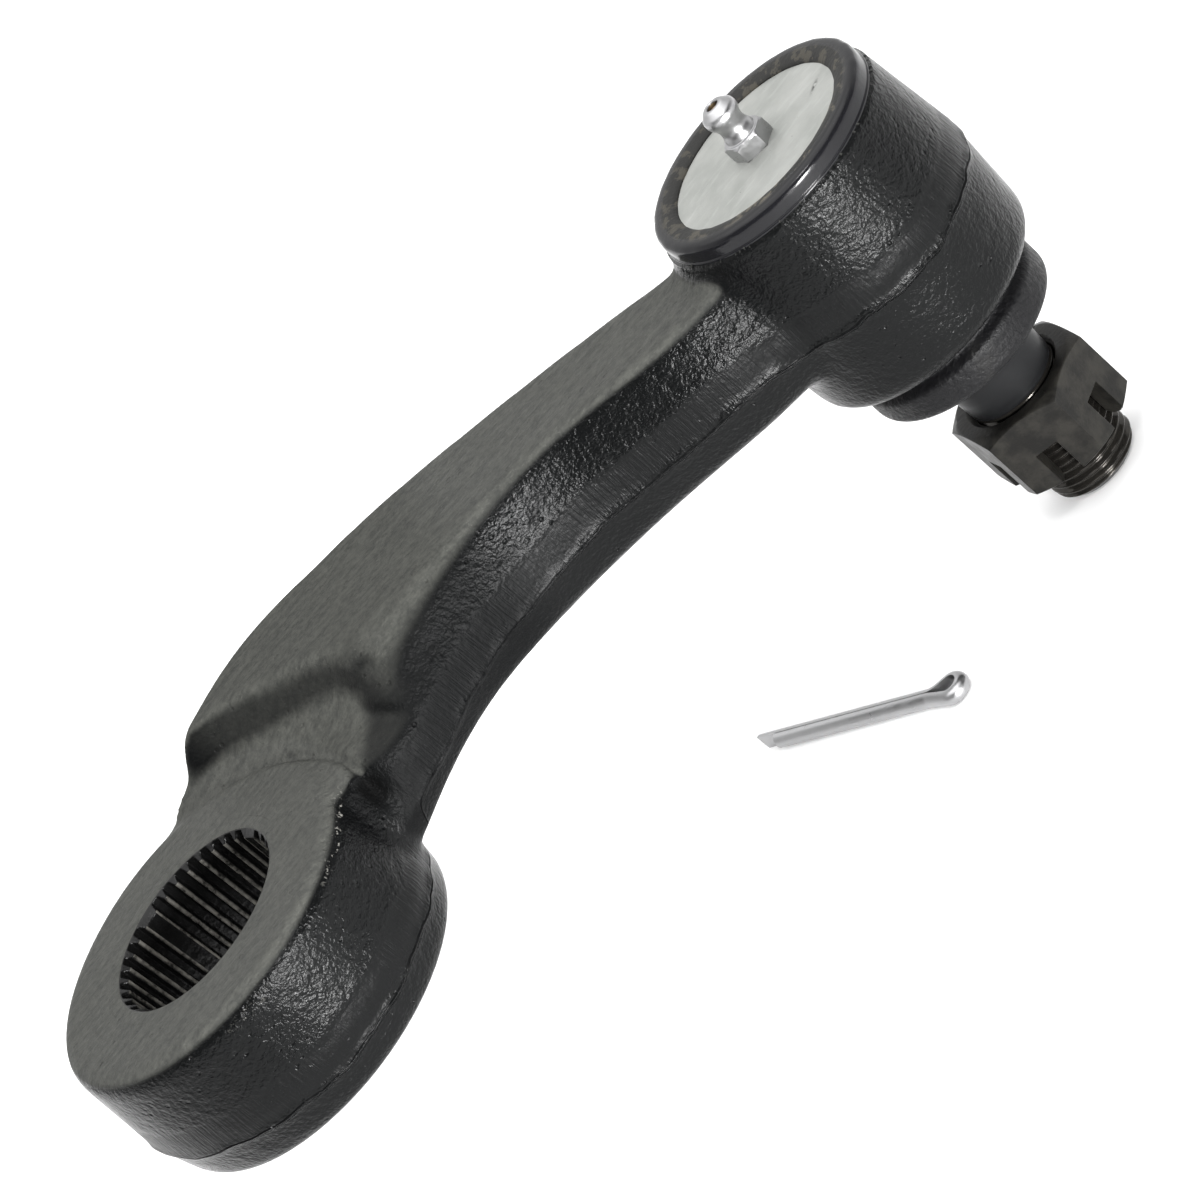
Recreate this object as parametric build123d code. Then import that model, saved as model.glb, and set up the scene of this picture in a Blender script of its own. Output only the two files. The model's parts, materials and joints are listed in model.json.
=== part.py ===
from build123d import *
import math
import os

os.makedirs("parts", exist_ok=True)

# A forged steering pitman arm with its ball joint.
# All sizes are in millimetres. The origin is on the axis of the serrated bore, in the boss's upper face.
# +Z runs up that axis, towards the side with the grease fitting, and +X points to the ball joint.

# Driving sizes of the forging
arm_centres = 139.7             # serrated bore to ball stud, 5 1/2 in
boss_height = 25.4
boss_radius = 30.2              # at the parting line, the widest place
boss_top_radius = 29.0          # before its edge is rounded
boss_bottom_radius = 28.6
boss_parting_depth = 16.5
boss_edge_round = 2.8
ball_radius = 13.2              # the ball joint is built outwards from its ball

# Serrated tapered bore, large end up
serration_major_radius = 15.88  # valleys, at the upper face
serration_depth = 0.95
serration_places = 36
serration_masters = 4           # valleys left filled, one every quarter turn
serration_first_master = 20.0   # degrees from +X
serration_taper = 1 / 32        # radius lost for each millimetre of depth
serration_valley_share = 0.22   # width of the valley's floor, as a part of the pitch
serration_crest_share = 0.30
bore_chamfer = 1.3

# The arm between the boss and the housing, cut at stations along X. It bows away from the straight line.
# Each row: station as a part of the run, near edge and far edge of the upper face,
# then the heights of upper face, parting line and underside, and the rounding of the near upper edge.
arm_into_housing = 15.4         # the run stops this short of the ball's axis
arm_stations = (
    (0.000, -9.0, 25.4, 7.2, -15.5, -20.0, 6.0),
    (0.101, -9.0, 30.6, 7.2, -15.0, -19.5, 7.0),
    (0.202, -8.4, 35.6, 7.2, -14.0, -18.6, 8.0),
    (0.303, -6.0, 37.3, 7.0, -11.2, -15.8, 8.0),
    (0.416, -2.2, 35.1, 6.3, -9.2, -14.8, 6.5),
    (0.539, 1.4, 31.4, 5.3, -9.6, -16.8, 4.5),
    (0.674, 1.3, 25.2, 4.3, -10.6, -18.7, 2.6),
    (0.798, -4.2, 18.4, 3.4, -10.9, -18.8, 2.2),
    (0.910, -8.5, 11.3, 2.6, -11.5, -19.4, 2.2),
    (1.000, -10.8, 8.4, 2.2, -12.4, -20.4, 2.2),
)
arm_draft_inset = 3.0           # upper edge to the trimmed band
arm_band_height = 6.0           # trimmed band above the parting line
arm_band_inset = 0.3
arm_under_inset = 2.6
arm_far_round = 2.2             # least rounding of the far upper edge
arm_under_round = 3.6
housing_web_round = 2.0         # hollow where the arm meets the housing

# Low landing between the boss and the step in the arm's upper face
landing_direction = 46.0        # degrees from +X
landing_start = 26.5            # from the bore's axis, along that direction
landing_start_depth = 1.0
landing_end = 33.0
landing_end_height = 1.9
step_run = 2.4
step_height = 4.9

# Ball housing, wall by wall outwards from the ball
bearing_wall = 3.4
plate_ledge = 1.0
lip_overhang = 1.7              # how far the spun lip reaches in over the plate
rim_wall = 2.7
band_step = 0.3
housing_upper_draft = 1.7
housing_lower_draft = 1.4
undercut_reach = 2.3
cavity_radius = ball_radius + bearing_wall
plate_seat_radius = cavity_radius + plate_ledge   # counterbore that the plate drops into
lip_radius = plate_seat_radius - lip_overhang
band_radius = plate_seat_radius + rim_wall        # machined band under the spun rim
housing_top_radius = band_radius + band_step
housing_radius = housing_top_radius + housing_upper_draft      # at the parting line
housing_bottom_radius = housing_radius - housing_lower_draft
undercut_radius = band_radius + undercut_reach    # cutter's bite in the arm beside the band
housing_parting = -11.5
housing_bottom = -30.0
housing_edge_round = 3.0
band_bottom = 6.6
band_top = 7.5
band_groove = 0.35
rim_top = 8.9
rim_outer_round = 1.6
cavity_floor = -24.0
cavity_end_run = 1.0            # how far the cutters run past a face
rim_lip_fall = 0.7              # the spun lip slopes down this much to its inner edge
rim_lip_run = 1.0
rim_lip_drop = 0.15
rim_shoulder_share = 0.4        # of the outer round, at its middle
rim_shoulder_fall = 0.35
lip_relief = 0.5                # inside the lip, above the plate
lip_relief_height = 0.6

# Closure plate and grease fitting
plate_top = 5.9
plate_thickness = 2.0
plate_clearance = 0.05
plate_crown = 0.25
plate_edge_chamfer = 0.15
plate_crown_start = 2.6         # inside the lip
plate_crown_end = 1.5
fitting_thread_radius = 3.17    # 1/4 in
fitting_thread_clearance = 0.04
fitting_stem_below_plate = 2.2
fitting_hex_across = 7.94       # 5/16 in
fitting_hex_height = 4.0
fitting_hex_foot_chamfer = 0.3
fitting_hex_head_chamfer = 0.4
fitting_neck_radius = 2.35
fitting_neck_height = 1.6
fitting_head_radius = 3.3
fitting_head_step = 0.9         # cone from neck to head
fitting_head_band = 0.8
fitting_tip_radius = 1.5
fitting_height = 11.7           # plate to tip
fitting_stem_chamfer = 0.6
fitting_turn = 10.0             # degrees
fitting_ledge_height = 0.6      # ring with the port, which holds the check spring
fitting_ledge_above_end = 0.5
fitting_seat_from_tip = 0.9
fitting_cone_from_tip = 1.5
fitting_passage_radius = 1.25
fitting_port_radius = 0.75
check_ball_radius = 1.1
check_seat_radius = 0.95
check_ball_clearance = 0.05
check_spring_wire = 0.28
check_spring_turns = 4
check_spring_corners = 8        # straight runs in one turn
check_spring_side_room = 0.08

# Ball stud
ball_height = -12.0             # ball centre
ball_flat = 9.6                 # flat top above the ball centre
stud_neck_radius = 7.4
stud_neck_end = -30.3
stud_taper = 1 / 16             # radius lost for each millimetre, 1 1/2 in a foot on the diameter
stud_taper_start = -33.2
stud_taper_end = -48.8
stud_swing = 18.0               # degrees each way from upright
stud_swing_room = 0.35          # least room round the swung stud
thread_radius = 7.94            # 5/8-18
thread_chamfer = 1.4
thread_standout = 6.9           # stud's end past the nut
cotter_hole_radius = 2.0
cotter_hole_in_nut = 2.9        # above the nut's foot, inside its slots

# Bearing pieces
bearing_clearance = 0.06
bearing_top = -11.0
bearing_floor_gap = 0.05
bearing_foot_height = 2.6       # the cup's mouth begins this far above the cavity's floor
seat_bottom = -8.6
seat_top = 0.2
seat_clearance = 0.08
seat_hole_radius = 6.0
seat_chamfer = 1.0
disc_spring_thickness = 1.4
disc_spring_inner_radius = 7.6
disc_spring_side_room = 1.0
disc_spring_outer_radius = cavity_radius - disc_spring_side_room
disc_spring_gap = 0.06
disc_spring_land = 0.6          # flat ring at each edge

# Dust boot
boot_top_radius = 16.7
boot_waist_radius = 15.4
boot_wide_radius = 16.9
boot_bottom = -38.6
boot_wall = 2.2
boot_stud_lip = 2.6
boot_gap = 0.1
boot_top_gap = 0.02
boot_top_lip = 0.6              # reaches in past the edge of the housing's opening
boot_flange = 0.8
boot_corner = 1.5

# Castle nut
nut_across = 22.23              # 7/8 in
nut_height = 13.9
nut_below_taper = 0.6
nut_top = stud_taper_end - nut_below_taper
nut_bottom = nut_top - nut_height
thread_end = nut_bottom - thread_standout
cotter_hole_height = nut_bottom + cotter_hole_in_nut
nut_slots = 6
nut_slot_width = 4.1
nut_slot_depth = 7.0
nut_bore_clearance = 0.1
nut_washer_face_radius = 10.8
nut_turn = -89.0                # a corner's direction, degrees from +X
nut_chamfer_angle = 30.0

# Cotter pin, shown taken out, lying flat at the level of the stud's end. Half-round wire bent double.
cotter_wire_radius = 1.45       # 1/8 in pin
cotter_length = 38.1            # long leg, 1 1/2 in
cotter_short_by = 4.0           # how much sooner the other leg ends
cotter_half_gap = 0.05
cotter_bend = 4.0               # radius of the bends at the neck
cotter_eye_bend = 1.5
cotter_eye_side = 4.0           # straight side of the eye
cotter_lean_out = 8.0           # degrees, short leg's side
cotter_lean_back = 38.0         # degrees, long leg's side
cotter_place = (94.4, -8.0)
cotter_turn = -57.5             # direction of the eye, degrees from +X

ball_axis = Pos(arm_centres, 0, 0)


def keep(name, solid, shade):
    """Write one piece to its own file."""
    solid.label = name
    solid.color = Color(*shade)
    export_step(solid, f"parts/{name}.step")


def turned(points):
    """Turn a closed outline, given as radius and height, about the Z axis."""
    return revolve(make_face(Polyline(*[(r, 0, z) for r, z in points], close=True)), Axis.Z)


def arm_section(row):
    """One cross-section of the arm, looking along X: upper face, drafted sides, trimmed band, underside."""
    share, near, far, top, parting, under, near_round = row
    wide_near = near - arm_draft_inset - arm_band_inset
    wide_far = far + arm_draft_inset + arm_band_inset
    band = parting + arm_band_height
    outline = [
        (near, top),
        (near - arm_draft_inset, band),
        (wide_near, parting),
        (wide_near + arm_under_inset, under),
        (wide_far - arm_under_inset, under),
        (wide_far, parting),
        (far + arm_draft_inset, band),
        (far, top),
    ]
    far_round = max(arm_far_round, near_round / 2)
    section = make_face(Polyline(*outline, close=True))
    for corner, size in (((near, top), near_round), ((far, top), far_round),
                         ((wide_near + arm_under_inset, under), arm_under_round),
                         ((wide_far - arm_under_inset, under), arm_under_round)):
        section = fillet(section.vertices().sort_by_distance((*corner, 0))[0], size)
    along = share * (arm_centres - arm_into_housing)
    return Plane(origin=(along, 0, 0), x_dir=(0, 1, 0), z_dir=(1, 0, 0)) * section


def arm_bar():
    return loft([arm_section(row) for row in arm_stations])


def landing_cutter():
    """Everything above the low landing beside the boss, up to the foot and face of the step."""
    profile = Polyline(
        (-2 * boss_radius, -landing_start_depth),
        (landing_start, -landing_start_depth),
        (landing_end, landing_end_height),
        (landing_end + step_run, landing_end_height + step_height),
        (landing_end + 2 * step_run, landing_end_height + 2 * step_height),
        (-2 * boss_radius, landing_end_height + 2 * step_height),
        close=True,
    )
    plane = Plane(origin=(0, 0, 0), x_dir=(1, 0, 0), z_dir=(0, -1, 0))
    wedge = extrude(plane * make_face(profile), 2 * boss_radius, both=True)
    return Rot(0, 0, landing_direction) * wedge


def boss():
    solid = turned([
        (0, 0),
        (boss_top_radius, 0),
        (boss_radius, -boss_parting_depth),
        (boss_bottom_radius, -boss_height),
        (0, -boss_height),
    ])
    rims = solid.edges().filter_by(GeomType.CIRCLE).filter_by(
        lambda e: abs(e.center().Z) < 0.01 or abs(e.center().Z + boss_height) < 0.01)
    return fillet(rims, boss_edge_round)


def serration_outline(depth):
    """The bore's toothed outline at one depth: a valley at each place, apart from the filled masters."""
    valley = serration_major_radius - depth * serration_taper
    crest = valley - serration_depth
    pitch = 360 / serration_places
    step = serration_places // serration_masters
    points = []
    for place in range(serration_places):
        middle = serration_first_master + place * pitch
        half_valley = pitch * serration_valley_share / 2
        half_crest = pitch * (1 - serration_crest_share) / 2
        filled = place % step == 0
        tooth = ((-half_crest, crest), (-half_valley, valley), (half_valley, valley), (half_crest, crest))
        for angle, radius in tooth:
            turn = math.radians(middle + angle)
            size = crest if filled else radius
            points.append((size * math.cos(turn), size * math.sin(turn)))
    return Pos(0, 0, -depth) * make_face(Polyline(*points, close=True))


def serrated_bore():
    past = 1.0
    teeth = loft([serration_outline(-past), serration_outline(boss_height + past)], ruled=True)
    mouth = serration_major_radius + bore_chamfer / 2
    foot = mouth - boss_height * serration_taper
    upper = turned([(0, past), (mouth + past, past), (mouth - bore_chamfer, -bore_chamfer), (0, -bore_chamfer)])
    lower = turned([
        (0, -boss_height - past),
        (foot + past, -boss_height - past),
        (foot - bore_chamfer, -boss_height + bore_chamfer),
        (0, -boss_height + bore_chamfer),
    ])
    return teeth + upper + lower


def housing():
    """Outside of the ball housing, with its machined band and the rim spun in over the plate."""
    side = [
        (0, housing_bottom),
        (housing_bottom_radius, housing_bottom),
        (housing_radius, housing_parting),
        (housing_top_radius, band_bottom),
        (band_radius, band_bottom),
        (band_radius, band_top),
        (band_radius - band_groove, band_top + band_groove),
        (band_radius - band_groove, rim_top - rim_outer_round),
        (band_radius - band_groove - rim_shoulder_share * rim_outer_round,
         rim_top - rim_shoulder_fall * rim_outer_round),
        (band_radius - band_groove - rim_outer_round, rim_top),
        (lip_radius + rim_lip_run, rim_top - rim_lip_drop),
        (lip_radius, rim_top - rim_lip_fall),
        (0, rim_top - rim_lip_fall),
    ]
    solid = turned(side)
    foot = solid.edges().filter_by(GeomType.CIRCLE).filter_by(
        lambda e: abs(e.center().Z - housing_bottom) < 0.01)
    return ball_axis * fillet(foot, housing_edge_round)


def swung(radius, height):
    """Where a point on the stud's side comes to when the stud is at the end of its swing."""
    turn = math.radians(stud_swing)
    drop = ball_height - height
    return (radius * math.cos(turn) + drop * math.sin(turn),
            ball_height - drop * math.cos(turn) + radius * math.sin(turn))


def room_round_neck(height):
    """Radius that clears the neck of the swung stud at one height."""
    turn = math.radians(stud_swing)
    reach = (ball_height - height) * math.tan(turn) + stud_neck_radius / math.cos(turn)
    return reach + stud_swing_room


def opening_bottom_radius():
    """The opening flares past the shoulder of the swung stud, down to the housing's foot."""
    shoulder, level = swung(stud_radius_at(stud_taper_start), stud_taper_start)
    top = room_round_neck(cavity_floor)
    flare = (shoulder + stud_swing_room - top) / (cavity_floor - level)
    return top + flare * (cavity_floor - housing_bottom)


def housing_cavity():
    """Bearing bore, plate seat under the spun lip, and the flared opening for the stud."""
    seat_floor = plate_top - plate_thickness
    foot = opening_bottom_radius()
    return ball_axis * turned([
        (0, rim_top + cavity_end_run),
        (lip_radius, rim_top + cavity_end_run),
        (lip_radius, rim_top - rim_lip_fall),
        (lip_radius + lip_relief, plate_top + lip_relief_height),
        (plate_seat_radius, plate_top),
        (plate_seat_radius, seat_floor),
        (cavity_radius, seat_floor),
        (cavity_radius, cavity_floor),
        (room_round_neck(cavity_floor), cavity_floor),
        (foot, housing_bottom),
        (foot, housing_bottom - cavity_end_run),
        (0, housing_bottom - cavity_end_run),
    ])


def band_undercut():
    """Ring that the cutter left free round the machined band, also where the arm comes up to it."""
    return ball_axis * turned([
        (band_radius, band_bottom),
        (housing_top_radius, band_bottom),
        (undercut_radius, band_bottom - 1.2),
        (undercut_radius + 8, band_bottom + 1.5),
        (undercut_radius + 8, rim_top + 4),
        (band_radius, rim_top + 4),
    ])


def arm_forging():
    """Boss, bowed arm and ball housing as one forging, with its machined bores."""
    bar = arm_bar() - landing_cutter()
    shell = housing() - band_undercut()
    joined = bar + shell
    joined = fillet(new_edges(bar, shell, combined=joined), housing_web_round)
    return boss() + joined - serrated_bore() - housing_cavity()


def closure_plate():
    radius = plate_seat_radius - plate_clearance
    bottom = plate_top - plate_thickness
    plate = turned([
        (0, bottom),
        (radius, bottom),
        (radius, plate_top - plate_edge_chamfer),
        (radius - plate_edge_chamfer, plate_top),
        (lip_radius - plate_crown_end, plate_top),
        (lip_radius - plate_crown_start, plate_top + plate_crown),
        (0, plate_top + plate_crown),
    ])
    return ball_axis * (plate - Pos(0, 0, bottom) * Cylinder(
        fitting_thread_radius + fitting_thread_clearance, 4 * plate_thickness))


def fitting_base():
    return plate_top + plate_crown


def fitting_tip():
    return plate_top + fitting_height


def grease_fitting():
    base = fitting_base()
    tip = fitting_tip()
    hex_top = base + fitting_hex_height
    neck_top = hex_top + fitting_neck_height
    stem_end = plate_top - plate_thickness - fitting_stem_below_plate
    across = fitting_hex_across
    chamfered = turned([
        (0, base),
        (across / 2, base),
        (across / math.sqrt(3), base + fitting_hex_foot_chamfer),
        (across / math.sqrt(3), hex_top - fitting_hex_head_chamfer),
        (across / 2, hex_top),
        (0, hex_top),
    ])
    hexagon = Pos(0, 0, base) * extrude(RegularPolygon(across / 2, 6, major_radius=False), fitting_hex_height)
    upper = turned([
        (0, hex_top - 0.2),
        (fitting_head_radius - 0.1, hex_top - 0.2),
        (fitting_head_radius - 0.3, hex_top + 0.5),
        (fitting_neck_radius, hex_top + 0.9),
        (fitting_neck_radius, neck_top),
        (fitting_head_radius, neck_top + fitting_head_step),
        (fitting_head_radius, neck_top + fitting_head_step + fitting_head_band),
        (fitting_tip_radius, tip),
        (0, tip),
    ])
    stem = turned([
        (0, stem_end),
        (fitting_thread_radius - fitting_stem_chamfer, stem_end),
        (fitting_thread_radius, stem_end + fitting_stem_chamfer),
        (fitting_thread_radius, base + 0.1),
        (0, base + 0.1),
    ])
    body = (hexagon & chamfered) + upper + stem
    passage = turned([
        (0, stem_end - 1),
        (fitting_passage_radius, stem_end - 1),
        (fitting_passage_radius, tip - fitting_cone_from_tip),
        (check_seat_radius, tip - fitting_seat_from_tip),
        (check_seat_radius, tip + 1),
        (0, tip + 1),
    ])
    ring = Cylinder(fitting_passage_radius + 0.01, fitting_ledge_height) - Cylinder(
        fitting_port_radius, 2 * fitting_ledge_height)
    ledge = Pos(0, 0, stem_end + fitting_ledge_above_end) * ring
    return ball_axis * Rot(0, 0, fitting_turn) * (body - passage + ledge)


def check_ball_centre():
    """The ball stops against the cone under the tip with a hair of room."""
    cone_angle = math.atan2(fitting_passage_radius - check_seat_radius,
                            fitting_cone_from_tip - fitting_seat_from_tip)
    apex = fitting_tip() - fitting_seat_from_tip + check_seat_radius / math.tan(cone_angle)
    return apex - (check_ball_radius + check_ball_clearance) / math.sin(cone_angle)


def check_ball():
    return ball_axis * Pos(0, 0, check_ball_centre()) * Sphere(check_ball_radius)


def check_spring():
    """Light coil under the check ball, its wire bent in short straight runs."""
    ledge_top = fitting_ledge_above_end + fitting_ledge_height / 2
    bottom = plate_top - plate_thickness - fitting_stem_below_plate + ledge_top + check_spring_wire
    top = check_ball_centre() - check_ball_radius - check_spring_wire - 0.05
    radius = fitting_passage_radius - check_spring_wire - check_spring_side_room
    steps = check_spring_turns * check_spring_corners
    points = []
    for step in range(steps + 1):
        turn = 2 * math.pi * step / check_spring_corners
        height = bottom + (top - bottom) * step / steps
        points.append((radius * math.cos(turn), radius * math.sin(turn), height))
    route = Polyline(*points)
    wire = Plane(origin=route @ 0, z_dir=route % 0) * RegularPolygon(check_spring_wire, 6)
    return ball_axis * sweep(wire, route, transition=Transition.RIGHT)


def ball_stud():
    """Truncated ball, waisted neck, tapered shank and threaded end, with the cotter hole."""
    flat_radius = math.sqrt(ball_radius ** 2 - ball_flat ** 2)
    neck_angle = math.asin(stud_neck_radius / ball_radius)
    neck_height = ball_height - ball_radius * math.cos(neck_angle)
    thread_top = stud_taper_end
    with BuildSketch(Plane.XZ) as half:
        with BuildLine():
            Polyline((0, thread_end), (thread_radius - thread_chamfer, thread_end),
                     (thread_radius, thread_end + thread_chamfer), (thread_radius, thread_top),
                     (stud_radius_at(stud_taper_start), stud_taper_start), (stud_neck_radius, stud_neck_end),
                     (stud_neck_radius, neck_height))
            ThreePointArc((stud_neck_radius, neck_height), (ball_radius, ball_height),
                          (flat_radius, ball_height + ball_flat))
            Polyline((flat_radius, ball_height + ball_flat), (0, ball_height + ball_flat), (0, thread_end))
        make_face()
    stud = revolve(half.sketch, Axis.Z)
    hole = Pos(0, 0, cotter_hole_height) * Rot(0, 0, nut_turn + 90) * Rot(0, 90, 0) * Cylinder(
        cotter_hole_radius, 4 * thread_radius)
    return ball_axis * (stud - hole)


def ball_room(clearance):
    return Pos(0, 0, ball_height) * Sphere(ball_radius + clearance)


def lower_bearing():
    """Cup that carries the lower half of the ball."""
    mouth = room_round_neck(cavity_floor + bearing_foot_height)
    cup = turned([
        (mouth, cavity_floor + bearing_foot_height),
        (room_round_neck(cavity_floor), cavity_floor + bearing_floor_gap),
        (cavity_radius - bearing_clearance, cavity_floor + bearing_floor_gap),
        (cavity_radius - bearing_clearance, bearing_top),
        (mouth, bearing_top),
    ])
    return ball_axis * (cup - ball_room(bearing_clearance))


def upper_seat():
    """Cap pressed down on the ball by the spring, with a grease hole in its middle."""
    cap = turned([
        (seat_hole_radius, seat_bottom),
        (cavity_radius - seat_clearance, seat_bottom),
        (cavity_radius - seat_clearance, seat_top - seat_chamfer),
        (cavity_radius - seat_clearance - seat_chamfer, seat_top),
        (seat_hole_radius, seat_top),
    ])
    return ball_axis * (cap - ball_room(bearing_clearance))


def preload_spring():
    """Conical disc spring between the upper seat and the closure plate."""
    bottom = seat_top + disc_spring_gap
    top = plate_top - plate_thickness - disc_spring_gap
    return ball_axis * turned([
        (disc_spring_inner_radius, bottom),
        (disc_spring_inner_radius + disc_spring_land, bottom),
        (disc_spring_outer_radius, top - disc_spring_thickness),
        (disc_spring_outer_radius, top),
        (disc_spring_outer_radius - disc_spring_land, top),
        (disc_spring_inner_radius, bottom + disc_spring_thickness),
    ])


def stud_radius_at(height):
    """Radius of the tapered shank at one height."""
    return thread_radius + (height - stud_taper_end) * stud_taper


def dust_boot():
    """Squat rubber boot between the housing's foot and the tapered shank."""
    top = housing_bottom - boot_top_gap
    lip_top = boot_bottom + boot_stud_lip
    return ball_axis * turned([
        (opening_bottom_radius() - boot_top_lip, top),
        (boot_top_radius, top),
        (boot_top_radius, top - boot_flange),
        (boot_waist_radius, top - 1.3),
        (boot_waist_radius, top - 1.9),
        (boot_wide_radius - 0.4, top - 3.0),
        (boot_wide_radius, top - 4.2),
        (boot_wide_radius, boot_bottom + 1.6),
        (boot_wide_radius - 1.4, boot_bottom),
        (stud_radius_at(boot_bottom) + boot_gap, boot_bottom),
        (stud_radius_at(lip_top) + boot_gap, lip_top),
        (boot_wide_radius - boot_wall - boot_corner, lip_top),
        (boot_wide_radius - boot_wall, lip_top + boot_corner),
        (boot_waist_radius - boot_wall + 0.6, top - 1.6),
    ])


def castle_nut():
    corner = nut_across / math.sqrt(3)
    bottom = nut_bottom
    chamfer_drop = (corner - nut_washer_face_radius) * math.tan(math.radians(nut_chamfer_angle))
    envelope = turned([
        (0, nut_top),
        (nut_washer_face_radius, nut_top),
        (corner, nut_top - chamfer_drop),
        (corner, bottom + 1.3 * chamfer_drop),
        (nut_washer_face_radius - 0.4, bottom),
        (0, bottom),
    ])
    hexagon = Rot(0, 0, nut_turn) * Pos(0, 0, bottom) * extrude(
        RegularPolygon(corner, 6, major_radius=True), nut_height)
    bore = thread_radius + nut_bore_clearance
    hole = turned([
        (0, nut_top + 1),
        (bore + 1.8, nut_top + 1),
        (bore, nut_top - 0.8),
        (bore, bottom + 0.8),
        (bore + 1.8, bottom - 1),
        (0, bottom - 1),
    ])
    nut = (hexagon & envelope) - hole
    for slot in range(nut_slots):
        turn = nut_turn + (slot + 0.5) * 360 / nut_slots
        cut = Rot(0, 0, turn) * Pos(nut_across / 2, 0, bottom) * Box(
            nut_across, nut_slot_width, 2 * nut_slot_depth)
        nut = nut - cut
    return ball_axis * nut


def cotter_pin():
    """Half-round wire bent double, flat sides together, with an open eye at the bend."""
    out = math.radians(cotter_lean_out)
    back = math.radians(cotter_lean_back)
    gap = cotter_half_gap
    eye_top = cotter_bend * (math.cos(out) - 1) - cotter_eye_side * math.sin(out) - gap
    eye_top += cotter_eye_bend * (math.cos(out) + math.cos(back))
    return_run = (eye_top - cotter_bend * (1 - math.cos(back)) - gap) / math.sin(back)
    short_leg = Line((cotter_short_by - cotter_length, -gap), (0, -gap))
    neck = JernArc(short_leg @ 1, short_leg % 1, cotter_bend, -cotter_lean_out)
    side = PolarLine(neck @ 1, cotter_eye_side, direction=neck % 1)
    eye = JernArc(side @ 1, side % 1, cotter_eye_bend, 180 + cotter_lean_out + cotter_lean_back)
    return_side = PolarLine(eye @ 1, return_run, direction=eye % 1)
    far_neck = JernArc(return_side @ 1, return_side % 1, cotter_bend, -cotter_lean_back)
    long_leg = Line(far_neck @ 1, (-cotter_length, gap))
    route = Wire([short_leg, neck, side, eye, return_side, far_neck, long_leg])
    wire = cotter_wire_radius
    half_round = make_face([Line((0, -wire), (0, wire)), ThreePointArc((0, wire), (wire, 0), (0, -wire))])
    section = Plane(origin=short_leg @ 0, x_dir=(0, -1, 0), z_dir=(1, 0, 0)) * half_round
    return Pos(*cotter_place, thread_end + wire) * Rot(0, 0, cotter_turn) * sweep(section, route)


for piece in (
    ("arm_forging", arm_forging, (0.20, 0.20, 0.21)),
    ("closure_plate", closure_plate, (0.70, 0.71, 0.70)),
    ("grease_fitting", grease_fitting, (0.80, 0.80, 0.82)),
    ("fitting_check_ball", check_ball, (0.55, 0.42, 0.25)),
    ("fitting_check_spring", check_spring, (0.75, 0.75, 0.78)),
    ("preload_spring", preload_spring, (0.60, 0.60, 0.62)),
    ("upper_seat", upper_seat, (0.85, 0.85, 0.80)),
    ("lower_bearing", lower_bearing, (0.62, 0.55, 0.40)),
    ("ball_stud", ball_stud, (0.45, 0.45, 0.46)),
    ("dust_boot", dust_boot, (0.12, 0.12, 0.12)),
    ("castle_nut", castle_nut, (0.35, 0.32, 0.28)),
    ("cotter_pin", cotter_pin, (0.78, 0.78, 0.80)),
):
    keep(piece[0], piece[1](), piece[2])
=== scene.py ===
import json
import math
import bmesh
import bpy
import numpy as np
from mathutils import Matrix, Vector


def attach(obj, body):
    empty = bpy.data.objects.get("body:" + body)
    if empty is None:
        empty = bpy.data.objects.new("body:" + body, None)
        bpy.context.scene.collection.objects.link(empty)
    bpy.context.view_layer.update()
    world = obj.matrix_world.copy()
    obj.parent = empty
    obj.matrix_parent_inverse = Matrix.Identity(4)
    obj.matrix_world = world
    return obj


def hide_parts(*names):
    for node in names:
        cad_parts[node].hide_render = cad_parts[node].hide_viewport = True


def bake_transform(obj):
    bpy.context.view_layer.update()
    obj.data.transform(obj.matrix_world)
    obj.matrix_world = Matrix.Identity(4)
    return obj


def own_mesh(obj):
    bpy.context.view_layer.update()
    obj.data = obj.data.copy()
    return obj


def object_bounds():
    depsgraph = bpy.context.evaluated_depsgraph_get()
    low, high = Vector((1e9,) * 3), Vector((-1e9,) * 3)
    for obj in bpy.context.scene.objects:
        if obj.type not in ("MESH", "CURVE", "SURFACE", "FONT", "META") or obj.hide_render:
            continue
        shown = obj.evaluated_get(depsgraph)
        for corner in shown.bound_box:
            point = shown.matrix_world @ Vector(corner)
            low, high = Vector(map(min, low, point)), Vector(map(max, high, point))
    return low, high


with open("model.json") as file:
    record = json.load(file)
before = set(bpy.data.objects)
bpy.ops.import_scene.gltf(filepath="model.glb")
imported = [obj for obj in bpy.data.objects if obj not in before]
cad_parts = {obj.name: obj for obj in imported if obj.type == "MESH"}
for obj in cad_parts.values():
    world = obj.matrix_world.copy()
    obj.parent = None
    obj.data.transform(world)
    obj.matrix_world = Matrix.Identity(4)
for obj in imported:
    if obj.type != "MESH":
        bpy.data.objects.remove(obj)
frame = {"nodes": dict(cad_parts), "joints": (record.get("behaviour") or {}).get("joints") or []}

# Forged pitman arm with its greasable ball joint, seen from above its near side.
# Everything is in the part's own frame: origin in the serrated bore, x to the ball stud, z up.
# Lengths are mm, or metres where they are multiplied by mm and in the studio at the end.

mm = 0.001
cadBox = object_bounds()
nodes = frame["nodes"]
swing = next(joint for joint in frame["joints"] if joint["name"] == "stud_swing")
studX, _, ballZ = swing["pos_m"]          # middle of the stud's ball
houseX = studX / mm
scene = bpy.context.scene
print("frame loaded,", len(nodes), "solids")


# A piece: its mesh with a finish, the body that it rides on and the solids that it stands for.
def addObject(name, mesh, finish, body, stands=()):
    obj = bpy.data.objects.new(name, mesh)
    scene.collection.objects.link(obj)
    if finish:
        mesh.materials.clear()
        mesh.materials.append(finish)
    if body:
        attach(obj, body)
    for node in stands:
        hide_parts(node)
    return obj


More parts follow.
